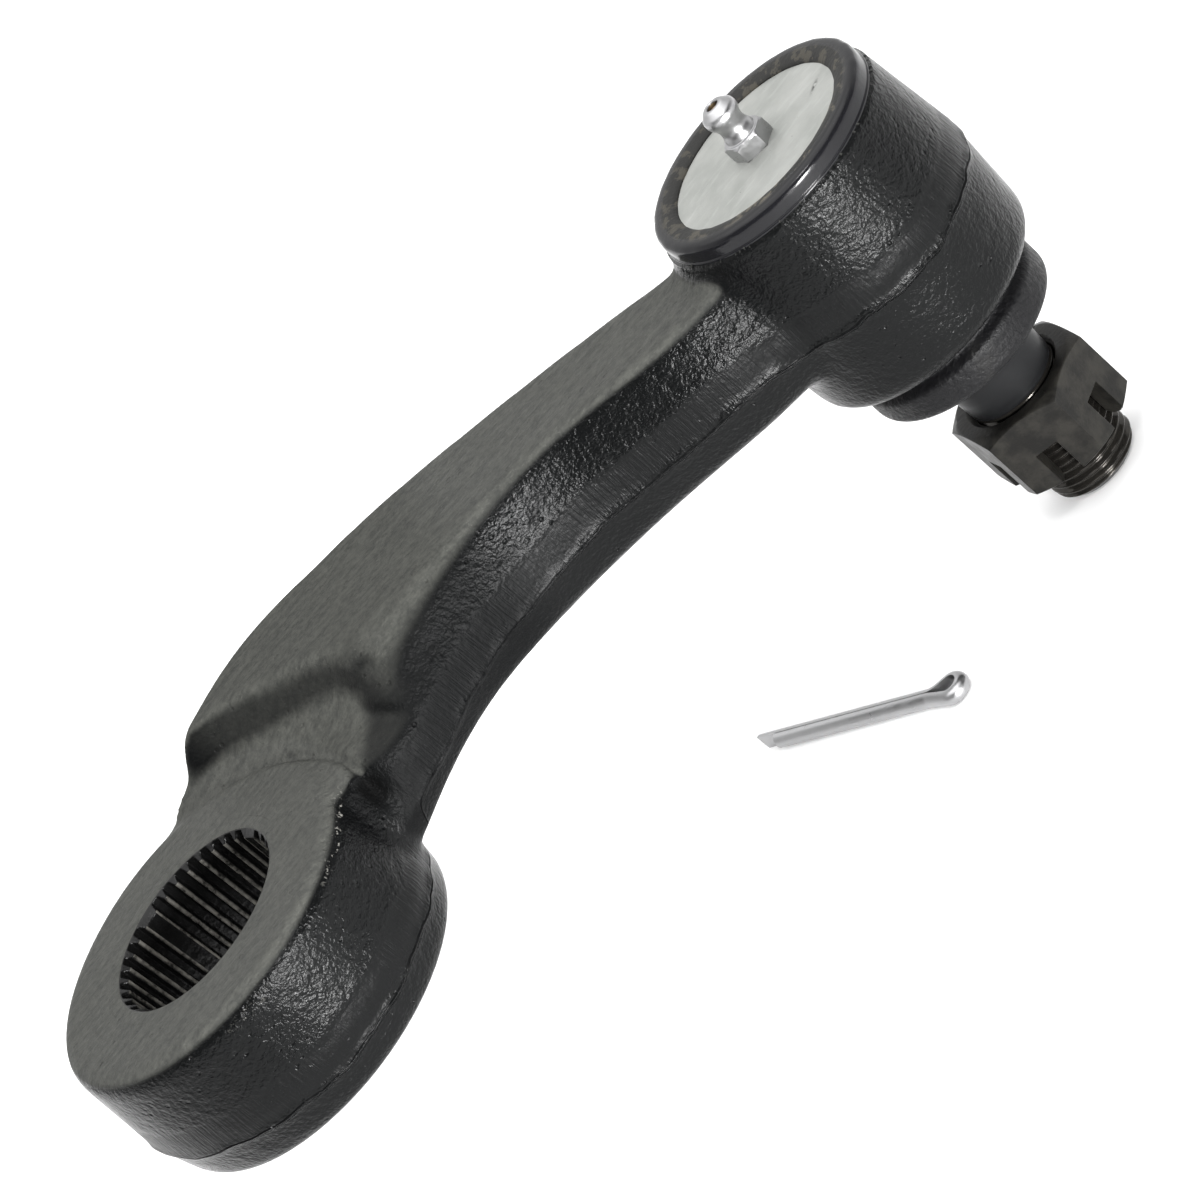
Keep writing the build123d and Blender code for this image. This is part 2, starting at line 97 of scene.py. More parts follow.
# Points on a grid, shape (rows, columns, 3), joined by quads. Columns wrap round, rows wrap too where asked.
def meshFromGrid(name, points, wrapRows=False):
    rows, columns, _ = points.shape
    last = rows if wrapRows else rows - 1
    i, j = np.meshgrid(np.arange(last), np.arange(columns), indexing="ij")
    down, right = (i + 1) % rows, (j + 1) % columns
    quads = np.stack([i * columns + j, i * columns + right, down * columns + right, down * columns + j], -1)
    mesh = bpy.data.meshes.new(name)
    mesh.from_pydata(points.reshape(-1, 3).tolist(), [], quads.reshape(-1, 4).tolist())
    mesh.update()
    return mesh


# Doubles merged, slivers dissolved and open ends filled where asked, then all faces turned outwards.
def mendMesh(mesh, merge=0.0, dissolve=0.0, fillEnds=False):
    bm = bmesh.new()
    bm.from_mesh(mesh)
    if merge:
        bmesh.ops.remove_doubles(bm, verts=bm.verts, dist=merge)
    if dissolve:
        bmesh.ops.dissolve_degenerate(bm, edges=bm.edges, dist=dissolve)
    if fillEnds:
        bmesh.ops.holes_fill(bm, edges=[edge for edge in bm.edges if edge.is_boundary], sides=0)
    bmesh.ops.recalc_face_normals(bm, faces=bm.faces)
    bm.to_mesh(mesh)
    bm.free()


def shadeSmooth(mesh):
    mesh.polygons.foreach_set("use_smooth", np.ones(len(mesh.polygons), dtype=bool))
    mesh.update()


# Rows that collapse to a point are merged, so poles and seams close.
def closeSurface(mesh, merge=0.002 * mm):
    mendMesh(mesh, merge=merge, dissolve=merge / 2)
    shadeSmooth(mesh)
    return mesh


# Each corner of an outline becomes a short curve: p(t) = (1-t)^2 a + 2t(1-t) corner + t^2 b,
# where a and b lie on the two sides, the corner's own cut away from it.
def softenedOutline(corners, steps=5, closed=True):
    points = np.array([corner[:2] for corner in corners], float)
    cuts = np.array([corner[2] if len(corner) > 2 else 0.0 for corner in corners])
    t = np.linspace(0, 1, steps)[None, :, None]

    def towards(other):
        way = other - points
        length = np.maximum(np.linalg.norm(way, axis=1, keepdims=True), 1e-9)
        return points + way / length * np.minimum(cuts[:, None], length * 0.48)

    a = towards(np.roll(points, 1, axis=0))[:, None]
    b = towards(np.roll(points, -1, axis=0))[:, None]
    curve = (1 - t) ** 2 * a + 2 * t * (1 - t) * points[:, None] + t ** 2 * b
    if not closed:
        curve[0], curve[-1] = points[0], points[-1]
    return curve.reshape(-1, 2)


# An outline of radius and height is turned about the stud's upright axis: x = r cos u, y = r sin u, z = h.
def latheSurface(name, outline, turns=96, closed=True, shape=None):
    outline = np.asarray(outline, float) * mm
    u = np.linspace(0, 2 * math.pi, turns, endpoint=False)
    r = np.repeat(outline[:, :1], turns, axis=1)
    h = np.repeat(outline[:, 1:], turns, axis=1)
    if shape is not None:
        r, h = shape(r, h, u[None, :])
    points = np.stack([studX + r * np.cos(u), r * np.sin(u), h], -1)
    return closeSurface(meshFromGrid(name, points, wrapRows=closed))


# A copy of a solid with its loose triangles joined up.
def mergedCopy(node, name):
    mesh = nodes[node].data.copy()
    mesh.name = name
    mesh.materials.clear()
    mendMesh(mesh, merge=0.008 * mm)
    return mesh


# What a piece's modifiers make of it, as a mesh of its own.
def meshAfterModifiers(obj):
    ready = obj.evaluated_get(bpy.context.evaluated_depsgraph_get())
    return bpy.data.meshes.new_from_object(ready)


# One row of numbers for each vertex, edge or face, such as its place or its normal.
def readRows(items, key, width=3, kind=float):
    values = np.empty(len(items) * width, dtype=kind)
    items.foreach_get(key, values)
    return values.reshape(-1, width)


def storeField(mesh, name, values):
    field = mesh.attributes.new(name, "FLOAT", "POINT")
    field.data.foreach_set("value", np.asarray(values, dtype=np.float32))


# From 0 at low to 1 at high, level at both ends: t^2 (3 - 2t).
def smoothStep(low, high, value):
    t = np.clip((value - low) / (high - low), 0, 1)
    return t * t * (3 - 2 * t)


# Up from 0 to 1 between the first two limits, and down again between the last two.
def window(value, start, full, wane, end):
    return smoothStep(start, full, value) * (1 - smoothStep(wane, end, value))


# 1 in the middle and soon 0 beyond the width: exp(-(distance / width)^2).
def bell(distance, width):
    return np.exp(-(distance / width) ** 2)


# A material's node tree, with short names for the nodes that the finishes below use.
class Finish:
    def __init__(self, name, slot=None):
        self.material = bpy.data.materials.new(name)
        self.material.use_nodes = True
        self.tree = self.material.node_tree
        self.shader = self.tree.nodes["Principled BSDF"]
        self.place = self.tree.nodes.new("ShaderNodeTexCoord").outputs["Object"]

    def feed(self, socket, value):
        if hasattr(value, "is_output"):
            self.tree.links.new(value, socket)
        elif isinstance(value, tuple) and socket.type == "RGBA":
            socket.default_value = (*value, 1)
        else:
            socket.default_value = value

    def set(self, **values):
        for key, value in values.items():
            self.feed(self.shader.inputs[key.replace("_", " ")], value)

    # stretch and turn (degrees) draw the pattern out along one direction
    def noise(self, scale, detail=3.0, roughness=0.5, stretch=None, turn=0.0):
        node = self.tree.nodes.new("ShaderNodeTexNoise")
        source = self.place
        if stretch:
            mapping = self.tree.nodes.new("ShaderNodeMapping")
            mapping.inputs["Rotation"].default_value = (0, 0, math.radians(turn))
            mapping.inputs["Scale"].default_value = stretch
            self.feed(mapping.inputs["Vector"], source)
            source = mapping.outputs["Vector"]
        self.feed(node.inputs["Vector"], source)
        for key, value in (("Scale", scale), ("Detail", detail), ("Roughness", roughness)):
            self.feed(node.inputs[key], value)
        return node.outputs["Fac"]

    def spots(self, scale):
        node = self.tree.nodes.new("ShaderNodeTexVoronoi")
        self.feed(node.inputs["Scale"], scale)
        self.feed(node.inputs["Vector"], self.place)
        return node.outputs["Distance"]

    def field(self, name):
        node = self.tree.nodes.new("ShaderNodeAttribute")
        node.attribute_name = name
        return node.outputs["Fac"]

    def ramp(self, value, low, high, atLow=0.0, atHigh=1.0):
        node = self.tree.nodes.new("ShaderNodeMapRange")
        node.interpolation_type = "SMOOTHSTEP"
        self.feed(node.inputs["Value"], value)
        for key, number in (("From Min", low), ("From Max", high), ("To Min", atLow), ("To Max", atHigh)):
            self.feed(node.inputs[key], number)
        return node.outputs["Result"]

    def math(self, kind, a, b=0.0):
        node = self.tree.nodes.new("ShaderNodeMath")
        node.operation = kind
        self.feed(node.inputs[0], a)
        self.feed(node.inputs[1], b)
        return node.outputs[0]

    def plus(self, a, b):
        return self.math("ADD", a, b)

    def minus(self, a, b):
        return self.math("SUBTRACT", a, b)

    def times(self, a, b):
        return self.math("MULTIPLY", a, b)

    def mix(self, share, a, b):
        node = self.tree.nodes.new("ShaderNodeMix")
        node.data_type = "RGBA"
        self.feed(node.inputs["Factor"], share)
        self.feed(node.inputs[6], a)
        self.feed(node.inputs[7], b)
        return node.outputs[2]

    def bump(self, height, depth, strength=1.0):
        node = self.tree.nodes.new("ShaderNodeBump")
        self.feed(node.inputs["Strength"], strength)
        self.feed(node.inputs["Distance"], depth)
        self.feed(node.inputs["Height"], height)
        return node.outputs["Normal"]

    # how far a face looks up, from its own normal
    def upward(self, low, high):
        node = self.tree.nodes.new("ShaderNodeNewGeometry")
        split = self.tree.nodes.new("ShaderNodeSeparateXYZ")
        self.feed(split.inputs[0], node.outputs["Normal"])
        return self.ramp(split.outputs["Z"], low, high)


# Black paint over a forged skin: glossy and pebbled on the sides, sandy on the faces that look up. The one
# paint comes as lit and shaded copies: painted light makes the faces that look up lighter, and painted shade
# keeps the sides near black.
def paintedForging():
    look = {
        # side and top are the shaded and lit copies of the one paint: painted shade on the sides, painted
        # light on the faces that look up
        "side": (0.0025, 0.0027, 0.0028),
        "top": (0.067, 0.068, 0.061),
        "topDark": (0.037, 0.038, 0.035),
        "dust": (0.100, 0.098, 0.087),
        "bareSteel": (0.24, 0.235, 0.215),
        # painted shade, near black, in the pushed-in hollow beside the boss
        "hollow": (0.002, 0.002, 0.002),
        "sideRoughness": 0.21,
        "topRoughness": 0.54,
        "grainAngle": 34.0,                   # degrees, fine lines left on the upper faces
        "relief": 0.25 * mm,
    }
    f = Finish("forgingPaint", "painted_forging")
    band, pocket, dull = f.field("trimBand"), f.field("pocket"), f.field("dull")
    # painted light: the step's steep face gets part of the lighter top colour
    up = f.math("MAXIMUM", f.upward(0.50, 0.90), f.times(f.field("stepFaceLight"), 0.30))
    # painted shade: the landing's near side is darkened towards the sides' colour
    up = f.times(up, f.minus(1.0, f.field("nearBevelShade")))
    patchy = f.ramp(f.noise(70, 4, 0.6), 0.35, 0.68)
    pebble = f.noise(1450, 3, 0.55)
    sand = f.noise(900, 6, 0.72)
    lumps = f.noise(420, 3, 0.5)
    grain = f.noise(800, 5, 0.70, stretch=(0.16, 1.0, 0.6), turn=look["grainAngle"])
    scratch = f.noise(1900, 3, 0.65, stretch=(1.0, 1.0, 0.05))
    pits = f.times(f.ramp(f.spots(520), 0.10, 0.26, 1.0, 0.0), f.ramp(f.noise(190, 3), 0.50, 0.62))
    wear = f.times(f.field("edgeWear"), f.ramp(f.noise(1100, 4, 0.7), 0.57, 0.63))

    # two shades and dust on the painted-light copy on top, the near-black painted-shade copy on the sides,
    # bare steel along the worn edge, and painted shade, near black, in the hollow
    shade = f.plus(f.times(f.ramp(sand, 0.38, 0.60), 0.55), f.times(f.ramp(grain, 0.38, 0.60), 0.45))
    top = f.mix(shade, look["topDark"], look["top"])
    top = f.mix(f.times(f.ramp(sand, 0.60, 0.74), 0.5), top, look["dust"])
    top = f.mix(f.times(patchy, 0.15), top, look["top"])
    colour = f.mix(wear, f.mix(up, look["side"], top), look["bareSteel"])
    colour = f.mix(f.times(pocket, 0.8), colour, look["hollow"])

    roughness = f.ramp(up, 0, 1, look["sideRoughness"], look["topRoughness"])
    for more in (f.times(f.minus(patchy, 0.5), 0.10), f.times(band, 0.08), f.times(dull, 0.22)):
        roughness = f.plus(roughness, more)

    # each texture's share of the relief on the sides and on top
    height = f.times(pits, -0.8)
    shares = ((pebble, 0.9, 0.6), (sand, 0.10, 0.75), (lumps, 1.0, 1.1), (grain, 0.05, 0.75))
    for texture, onSide, onTop in shares:
        height = f.plus(height, f.times(texture, f.ramp(up, 0, 1, onSide, onTop)))
    # the trimmed band is smoother, with upright scratches, and the flash stands up as a wandering line
    height = f.times(height, f.minus(1.0, f.times(band, 0.70)))
    height = f.plus(height, f.times(f.times(scratch, band), 0.7))
    away = f.math("ABSOLUTE", f.plus(f.field("fromFlash"), f.times(f.noise(330, 3), 0.7)))
    line = f.times(f.ramp(away, 0.0, 0.5, 1.0, 0.0), f.field("flashSide"))
    height = f.plus(height, f.times(line, 1.5))

    gloss = f.times(f.ramp(pocket, 0.0, 1.0, 0.23, 0.05), f.ramp(dull, 0.0, 1.0, 1.0, 0.55))
    f.set(Base_Color=colour, Roughness=roughness, IOR=1.34, Specular_IOR_Level=gloss,
          Normal=f.bump(height, look["relief"]))
    return f.material


# The bore's walls: black paint, with painted highlights along the teeth's crests.
def boreBlack():
    look = {"wall": (0.004, 0.004, 0.004), "crest": (0.14, 0.135, 0.12), "relief": 0.12 * mm}
    f = Finish("borePaint", "painted_forging")
    # crest: steel-grey lines on the teeth's crests, a painted highlight
    crest = f.times(f.field("crestHighlight"), f.ramp(f.noise(700, 4, 0.7), 0.30, 0.60))
    chatter = f.noise(2600, 2, 0.5, stretch=(1, 1, 0.25))
    height = f.plus(f.noise(900, 3), f.times(chatter, 0.5))
    f.set(Base_Color=f.mix(crest, look["wall"], look["crest"]), Roughness=f.ramp(crest, 0, 1, 0.24, 0.42),
          IOR=1.30, Normal=f.bump(height, look["relief"], 0.9))
    return f.material


# The spun rim: glossy on its rolled side, dull on its flat with rusty brown patches where the tool ran.
def rimBlack():
    look = {"rolled": (0.005, 0.005, 0.006), "flat": (0.012, 0.0118, 0.0100), "patch": (0.110, 0.098, 0.073),
            "relief": 0.10 * mm}
    f = Finish("rimPaint", "painted_forging")
    flat = f.field("rimFlat")
    patches = f.times(flat, f.ramp(f.noise(330, 5, 0.68), 0.52, 0.57))
    patches = f.times(patches, f.field("rimWorn"))
    colour = f.mix(f.times(flat, 0.75), look["rolled"], look["flat"])
    colour = f.mix(patches, colour, look["patch"])
    height = f.plus(f.noise(1300, 3), f.times(patches, -0.6))
    f.set(Base_Color=colour, Roughness=f.ramp(flat, 0, 1, 0.17, 0.50), IOR=1.32,
          Normal=f.bump(height, look["relief"], f.ramp(flat, 0, 1, 0.22, 1.0)))
    return f.material


# Bare plate: cloudy, with rolling lines, specks and one dark scar.
def plateSteel():
    look = {"dark": (0.29, 0.30, 0.282), "light": (0.38, 0.385, 0.368), "line": (0.46, 0.465, 0.45),
            "scar": (0.03, 0.03, 0.028), "speck": (0.10, 0.10, 0.095), "lineAngle": 30.0, "relief": 0.04 * mm}
    f = Finish("plateSteel", "plate_steel")
    specks = f.ramp(f.spots(900), 0.05, 0.11, 1.0, 0.0)
    specks = f.times(specks, f.ramp(f.noise(240, 3), 0.56, 0.64))
    cloud = f.ramp(f.noise(110, 4, 0.6), 0.3, 0.7)
    lines = f.noise(900, 3, 0.6, stretch=(0.2, 1.0, 1.0), turn=look["lineAngle"])
    colour = f.mix(cloud, look["dark"], look["light"])
    colour = f.mix(f.times(f.ramp(lines, 0.52, 0.66), 0.22), colour, look["line"])
    colour = f.mix(f.times(f.field("scar"), f.ramp(f.noise(1400, 3), 0.36, 0.50)), colour, look["scar"])
    colour = f.mix(f.times(specks, 0.8), colour, look["speck"])
    f.set(Base_Color=colour, Metallic=0.55, Roughness=f.ramp(cloud, 0, 1, 0.48, 0.60),
          Normal=f.bump(f.plus(lines, f.noise(1700, 3)), look["relief"], 0.7))
    return f.material


def zincSteel():
    f = Finish("zincSteel", "zinc_steel")
    cloud = f.noise(500, 4, 0.6)
    f.set(Base_Color=f.mix(cloud, (0.31, 0.31, 0.315), (0.47, 0.47, 0.475)), Metallic=1.0,
          Roughness=f.ramp(cloud, 0.3, 0.7, 0.27, 0.44), Normal=f.bump(f.noise(1900, 3), 0.02 * mm, 0.5))
    return f.material


def checkBallSteel():
    f = Finish("checkBallSteel", "check_ball_steel")
    colour = f.mix(f.noise(900, 3), (0.30, 0.19, 0.08), (0.42, 0.30, 0.16))
    f.set(Base_Color=colour, Metallic=1.0, Roughness=0.25)
    return f.material


def springSteel():
    f = Finish("springSteel", "spring_steel")
    colour = f.mix(f.noise(700, 3), (0.35, 0.35, 0.36), (0.48, 0.48, 0.48))
    f.set(Base_Color=colour, Metallic=1.0, Roughness=0.32)
    return f.material


def bearingPolymer():
    f = Finish("bearingPolymer", "bearing_polymer")
    f.set(Base_Color=f.mix(f.noise(300, 3), (0.62, 0.60, 0.50), (0.72, 0.70, 0.62)), Roughness=0.45)
    return f.material


def bearingMetal():
    f = Finish("bearingMetal", "bearing_metal")
    colour = f.mix(f.noise(400, 4), (0.34, 0.25, 0.14), (0.48, 0.36, 0.22))
    f.set(Base_Color=colour, Metallic=1.0, Roughness=0.4, Normal=f.bump(f.noise(1300, 3), 0.02 * mm, 0.6))
    return f.material


# The stud's ball and taper, with fine rings left by turning.
def studSteel():
    f = Finish("studSteel", "stud_steel")
    turning = f.noise(1800, 3, 0.6, stretch=(0.06, 0.06, 1.0))
    f.set(Base_Color=f.mix(f.noise(240, 4), (0.004, 0.004, 0.0045), (0.009, 0.0095, 0.010)), IOR=1.24,
          Roughness=f.ramp(turning, 0.3, 0.7, 0.30, 0.44), Normal=f.bump(turning, 0.03 * mm, 0.6))
    return f.material


def threadBlack():
    f = Finish("threadBlack", "stud_steel")
    f.set(Base_Color=f.mix(f.noise(600, 4), (0.012, 0.0115, 0.011), (0.046, 0.042, 0.036)), Metallic=0.7,
          Roughness=0.16, Normal=f.bump(f.noise(1800, 3), 0.03 * mm, 0.6))
    return f.material


# Matt rubber with a pebbled skin and a little dust.
def bootRubber():
    f = Finish("bootRubber", "boot_rubber")
    pebble = f.noise(1150, 4, 0.6)
    dust = f.times(f.ramp(f.noise(160, 4, 0.6), 0.50, 0.72), 0.35)
    f.set(Base_Color=f.mix(dust, (0.004, 0.004, 0.0045), (0.016, 0.0155, 0.0145)), IOR=1.26,
          Roughness=f.ramp(pebble, 0.3, 0.7, 0.34, 0.56), Normal=f.bump(pebble, 0.30 * mm))
    return f.material


def nutSteel():
    f = Finish("nutSteel", "nut_steel")
    cloud = f.noise(260, 5, 0.65)
    f.set(Base_Color=f.mix(f.ramp(cloud, 0.35, 0.65), (0.007, 0.0068, 0.0062), (0.017, 0.0160, 0.0138)),
          Metallic=0.10, IOR=1.24, Roughness=f.ramp(cloud, 0.3, 0.7, 0.30, 0.44),
          Normal=f.bump(f.noise(1300, 4, 0.6), 0.06 * mm, 0.8))
    return f.material


forgingPaint = paintedForging()
borePaint = boreBlack()
rimPaint = rimBlack()
plateFinish = plateSteel()
zincFinish = zincSteel()
ballFinish = checkBallSteel()
springFinish = springSteel()
polymerFinish = bearingPolymer()
bronzeFinish = bearingMetal()
studFinish = studSteel()
threadFinish = threadBlack()
rubberFinish = bootRubber()
nutFinish = nutSteel()
print("finishes made")


forging = {
    "voxel": 0.65 * mm,
    "evenRounds": 6,
    "softRounds": 5,             # plain averaging, which rounds the forged edges by about a millimetre
    "hollowRounds": 26,          # more of it where two forms meet in a hollow
    "crestRounds": 95,           # and along the landing's near crest
    "markRounds": 6,             # and in the hollow that is pushed in
    "boreKeep": 18.5 * mm,       # machined places keep their corners
    "rimKeep": 23.0 * mm,
    "rimKeepFoot": 5.0 * mm,
    "boreSkin": 17.4 * mm,       # the skin steps back here, behind the serrated sleeve
    "rimReach": 21.0 * mm,       # and here, inside the spun rim
    "rimFoot": 6.0 * mm,
    "rimSkin": (17.0 * mm, 19.6 * mm),
    "rimSkinTop": 7.6 * mm,
    "wornEdge": {"radius": 29.2, "width": 0.55, "foot": -2.2, "turn": (-56, -48, -20, -12)},
    "wornSpot": {"radius": 29.4, "width": 0.4, "foot": -3.0, "turn": -96, "reach": 7, "share": 0.6},
}

# The trimmed flash: a level, a lean of the level round the axis, and waves as (height, count, start).
flash = {
    "height": 0.34 * mm,
    "width": 0.75 * mm,
    "band": (0.1, 0.7, 5.2, 6.2),             # where the trimmed band above it begins and ends
    "boss": {"level": -17.4, "lean": 2.1, "leanTurn": 55,
             "waves": ((0.35, 5, 0), (0.22, 13, 0.6), (0.10, 29, 0))},
    "house": {"level": -12.3, "lean": 1.9, "leanTurn": 82,
              "waves": ((0.30, 6, 1), (0.16, 15, 0), (0.08, 34, 2))},
    "armStations": (0.09, 0.18, 0.27, 0.37, 0.48, 0.60, 0.71, 0.81, 0.89),       # shares of the arm's length
    "armLevels": (-15.0, -14.0, -11.2, -9.2, -9.6, -10.6, -10.9, -11.5, -12.4),
    "armWaves": ((0.25, 1 / 4.1, 0), (0.12, 1 / 1.9, 1)),
}


# Sum of height sin(count along + start).
def waved(along, waves):
    return sum(height * np.sin(count * along + start) for height, count, start in waves)


# Height of the trimmed flash. On the boss and the housing it is level - lean cos(u + leanTurn) + waves, and
# on the arm it follows the parting line from one to the other.
def flashLevel(x, y):
    def roundAxis(place, middle):
        u = np.arctan2(y, x - middle)
        leaning = place["lean"] * np.cos(u + math.radians(place["leanTurn"]))
        return place["level"] - leaning + waved(u, place["waves"])

    arm = np.interp(x, np.array(flash["armStations"]) * houseX, flash["armLevels"])
    arm += waved(x, flash["armWaves"])
    toBoss = 1 - smoothStep(31.0, 36.0, np.hypot(x, y))
    toHouse = 1 - smoothStep(23.5, 28.0, np.hypot(x - houseX, y))
    level = arm * (1 - toBoss) + roundAxis(flash["boss"], 0) * toBoss
    return level * (1 - toHouse) + roundAxis(flash["house"], houseX) * toHouse


# Distance from the upright axis of the bore, and below of the stud.
def fromBore(points):
    return np.hypot(points[:, 0], points[:, 1])


def fromStud(points):
    return np.hypot(points[:, 0] - studX, points[:, 1])


# Each point's way to the mean of its neighbours: sum of neighbours / count - p.
def wayToMean(points, edges, count):
    total = np.zeros_like(points)
    for here, there in (edges.T, edges.T[::-1]):
        for axis in range(3):
            total[:, axis] += np.bincount(here, weights=points[there, axis], minlength=len(points))
    return total / count[:, None] - points


# A weight grows over its neighbours: w = max(w, 0.97 mean of the neighbours), once for each round.
def spreadOut(weight, edges, count, rounds):
    for _ in range(rounds):
        spread = np.bincount(edges[:, 0], weights=weight[edges[:, 1]], minlength=len(weight))
        spread += np.bincount(edges[:, 1], weights=weight[edges[:, 0]], minlength=len(weight))
        weight = np.maximum(weight, 0.97 * spread / count)
    return weight


landing = {
    "crestX": (30, 38, 44, 52, 62),           # its near crest in plan
    "crestY": (-9, -6.5, -2.5, 0, 1),
    "climbX": (38, 46, 52),                   # and how that crest climbs
    "climbZ": (2.0, 4.0, 6.0),
    "fallFrom": (34.3, -3.1),                 # on the slanting line where its near side begins to fall away
    "fallWay": (0.698, -0.716),
    "fall": 0.22,
    "arcMiddle": (-4.74, -8.52),              # the boss's face ends over it in an arc
    "arcRadius": 36.47,
    "arcGroove": 0.85,
    "arcCrest": 0.25,
    "nearSwing": -5.2,                        # the step's two ends swing towards the boss
    "farSwing": (-2.7, -3.4),
}

# Hand marks: middle, reach along x, y and z, and depth. The first is the hollow beside the boss, which its
# paint darkens with painted shade, and the others are the dimple at the end of the step with its raised lip.
marks = (
    ((31.8, -11.5, -4.5), (2.4, 3.8, 4.2), 2.8),
    ((44.2, -0.2, 4.5), (1.6, 1.6, 1.8), 0.7),
    ((42.2, 3.0, 5.0), (2.4, 2.4, 2.4), -0.35),
)


# 1 along the near crest of the low landing and of the arm beside it, where the forging is well rounded
def softCrest(points):
    x, y, z = points.T / mm
    crestY = np.interp(x, landing["crestX"], landing["crestY"])
    crestZ = np.interp(x, landing["climbX"], landing["climbZ"])
    return bell(y - crestY, 5.0) * bell(z - crestZ, 6.0) * window(x, 27, 31, 52, 62)


# 1 along the thin arc where the boss's face stands a little above the low landing
def onBossRim(points):
    x, y, z = points.T / mm
    upper = smoothStep(-3.5, -1.5, z) * smoothStep(4.0, 10.0, x)
    return window(np.hypot(x, y), 22.0, 25.0, 31.5, 34.0) * upper


# The boss's face ends in a fine line over the landing: z - groove exp(-(d - 0.55)^2 / 0.75^2), d the distance
# outside the arc's own circle, and inside it the face stands a touch higher.
def bossArc(points):
    x, y, z = points.T / mm
    outside = np.hypot(x - landing["arcMiddle"][0], y - landing["arcMiddle"][1]) - landing["arcRadius"]
    reach = window(y, -16, -8, 20, 30) * smoothStep(-3.5, -1.5, z) * (z < 3)
    reach *= 0.45 + 0.55 * (1 - smoothStep(6, 18, y))
    bent = points.copy()
    bent[:, 2] -= landing["arcGroove"] * mm * reach * bell(outside - 0.55, 0.75)
    bent[:, 2] += landing["arcCrest"] * mm * reach * bell(outside + 1.0, 1.0)
    return bent


# How far a point of the landing lies past the line where its near side begins to fall away: (p - from) . way.
def pastLanding(points):
    x, y, z = points.T / mm
    fromX, fromY = landing["fallFrom"]
    wayX, wayY = landing["fallWay"]
    past = (x - fromX) * wayX + (y - fromY) * wayY
    reach = smoothStep(31.0, 33.5, np.hypot(x, y)) * (1 - smoothStep(42, 49, x)) * (x > 0) * (y < 12)
    return np.clip(past, 0, 10), reach


# The landing's near side: z - fall d^2 / (d + 2), d the distance past that line.
def landingBevel(points):
    past, reach = pastLanding(points)
    bent = points.copy()
    bent[:, 2] -= landing["fall"] * mm * past ** 2 / (past + 2) * reach * smoothStep(-9, 0, points[:, 2] / mm)
    return bent


# Near 1 on the steep face of the step in the arm's upper side, whose normals have z about 0.45
def softStep(points, normals):
    x, y, z = points.T / mm
    steep = bell(normals[:, 2] - 0.45, 0.30)
    return 0.8 * steep * window(x, 8, 14, 52, 58) * smoothStep(-3, 1, y) * smoothStep(0.5, 1.5, z)


# The step isn't quite straight. Each of its ends moves by p + swing window(y) exp(-(x - c)^2 / 9^2).
def bentStep(points):
    x, y, z = points.T / mm
    upper = smoothStep(-5, 1, z)
    nearEnd = window(y, -14, -6, -2, 12) * bell(x - 48, 9) * upper
    farEnd = smoothStep(24, 38, y) * bell(x - 17, 9) * upper
    bent = points.copy()
    bent[:, 0] += (landing["nearSwing"] * nearEnd + landing["farSwing"][0] * farEnd) * mm
    bent[:, 1] += landing["farSwing"][1] * farEnd * mm
    return bent


# Each mark is its depth times exp(-distance squared), pushed in along the surface's normal.
def handMarks(points, normals):
    pocket = np.zeros(len(points))
    for middle, reach, depth in marks:
        away = (points / mm - np.array(middle)) / np.array(reach)
        share = np.exp(-(away ** 2).sum(axis=1))
        points = points - normals * (depth * mm * share)[:, None]
        # the deep mark's share, where the paint later puts painted shade
        if depth > 1:
            pocket = smoothStep(0.20, 0.75, share)
    return points, pocket


# The remeshed forging is evened out by a step towards the neighbours' mean and a smaller one back, and then
# rounded, p + share (mean - p). That goes on for longer in hollows, where the mean lies outside the surface,
# and on soft crests.
def roundedForging(points, normals, edges):
    count = np.bincount(edges.ravel(), minlength=len(points)).astype(float)
    machined = (fromStud(points) < forging["rimKeep"]) & (points[:, 2] > forging["rimKeepFoot"])
    machined |= fromBore(points) < forging["boreKeep"]
    free = np.where(machined, 0.0, 1.0)

    def eased(points, weight):
        return points + weight[:, None] * wayToMean(points, edges, count)

    for _ in range(forging["evenRounds"]):
        for share in (0.55, -0.53):
            points = eased(points, share * free)
    keep = 1 - 0.8 * onBossRim(points)
    for _ in range(forging["softRounds"]):
        points = eased(points, 0.5 * free * keep)

    lift = np.einsum("ij,ij->i", wayToMean(points, edges, count), normals)
    hollow = spreadOut(np.clip(lift / (0.05 * mm), 0, 1) * free, edges, count, 7)
    hollow = np.clip(hollow * 1.6, 0, 1) * free * (1 - 0.92 * onBossRim(points))
    points = landingBevel(points)
    crest = np.maximum(softCrest(points), spreadOut(softStep(points, normals), edges, count, 5))
    for step in range(forging["crestRounds"]):
        points = eased(points, 0.6 * (np.maximum(hollow, crest) if step < forging["hollowRounds"] else crest))

    points, pocket = handMarks(bossArc(bentStep(points)), normals)
    for _ in range(forging["markRounds"]):
        points = eased(points, 0.5 * np.clip(pocket * 2, 0, 1))
    return points, pocket


# The skin gives way to the serrated sleeve and to the spun rim: its radius about each axis is clipped.
def makeRoom(points):
    radius = fromBore(points)
    inBore = radius < forging["boreSkin"]
    points[inBore, :2] *= (forging["boreSkin"] / np.maximum(radius[inBore], 1e-6))[:, None]
    radius = fromStud(points)
    inRim = (points[:, 2] > forging["rimFoot"]) & (radius < forging["rimReach"])
    points[inRim, 2] = np.minimum(points[inRim, 2], forging["rimSkinTop"])
    share = np.clip(radius[inRim], *forging["rimSkin"]) / np.maximum(radius[inRim], 1e-6)
    points[inRim, 0] = studX + (points[inRim, 0] - studX) * share
    points[inRim, 1] *= share
    return points


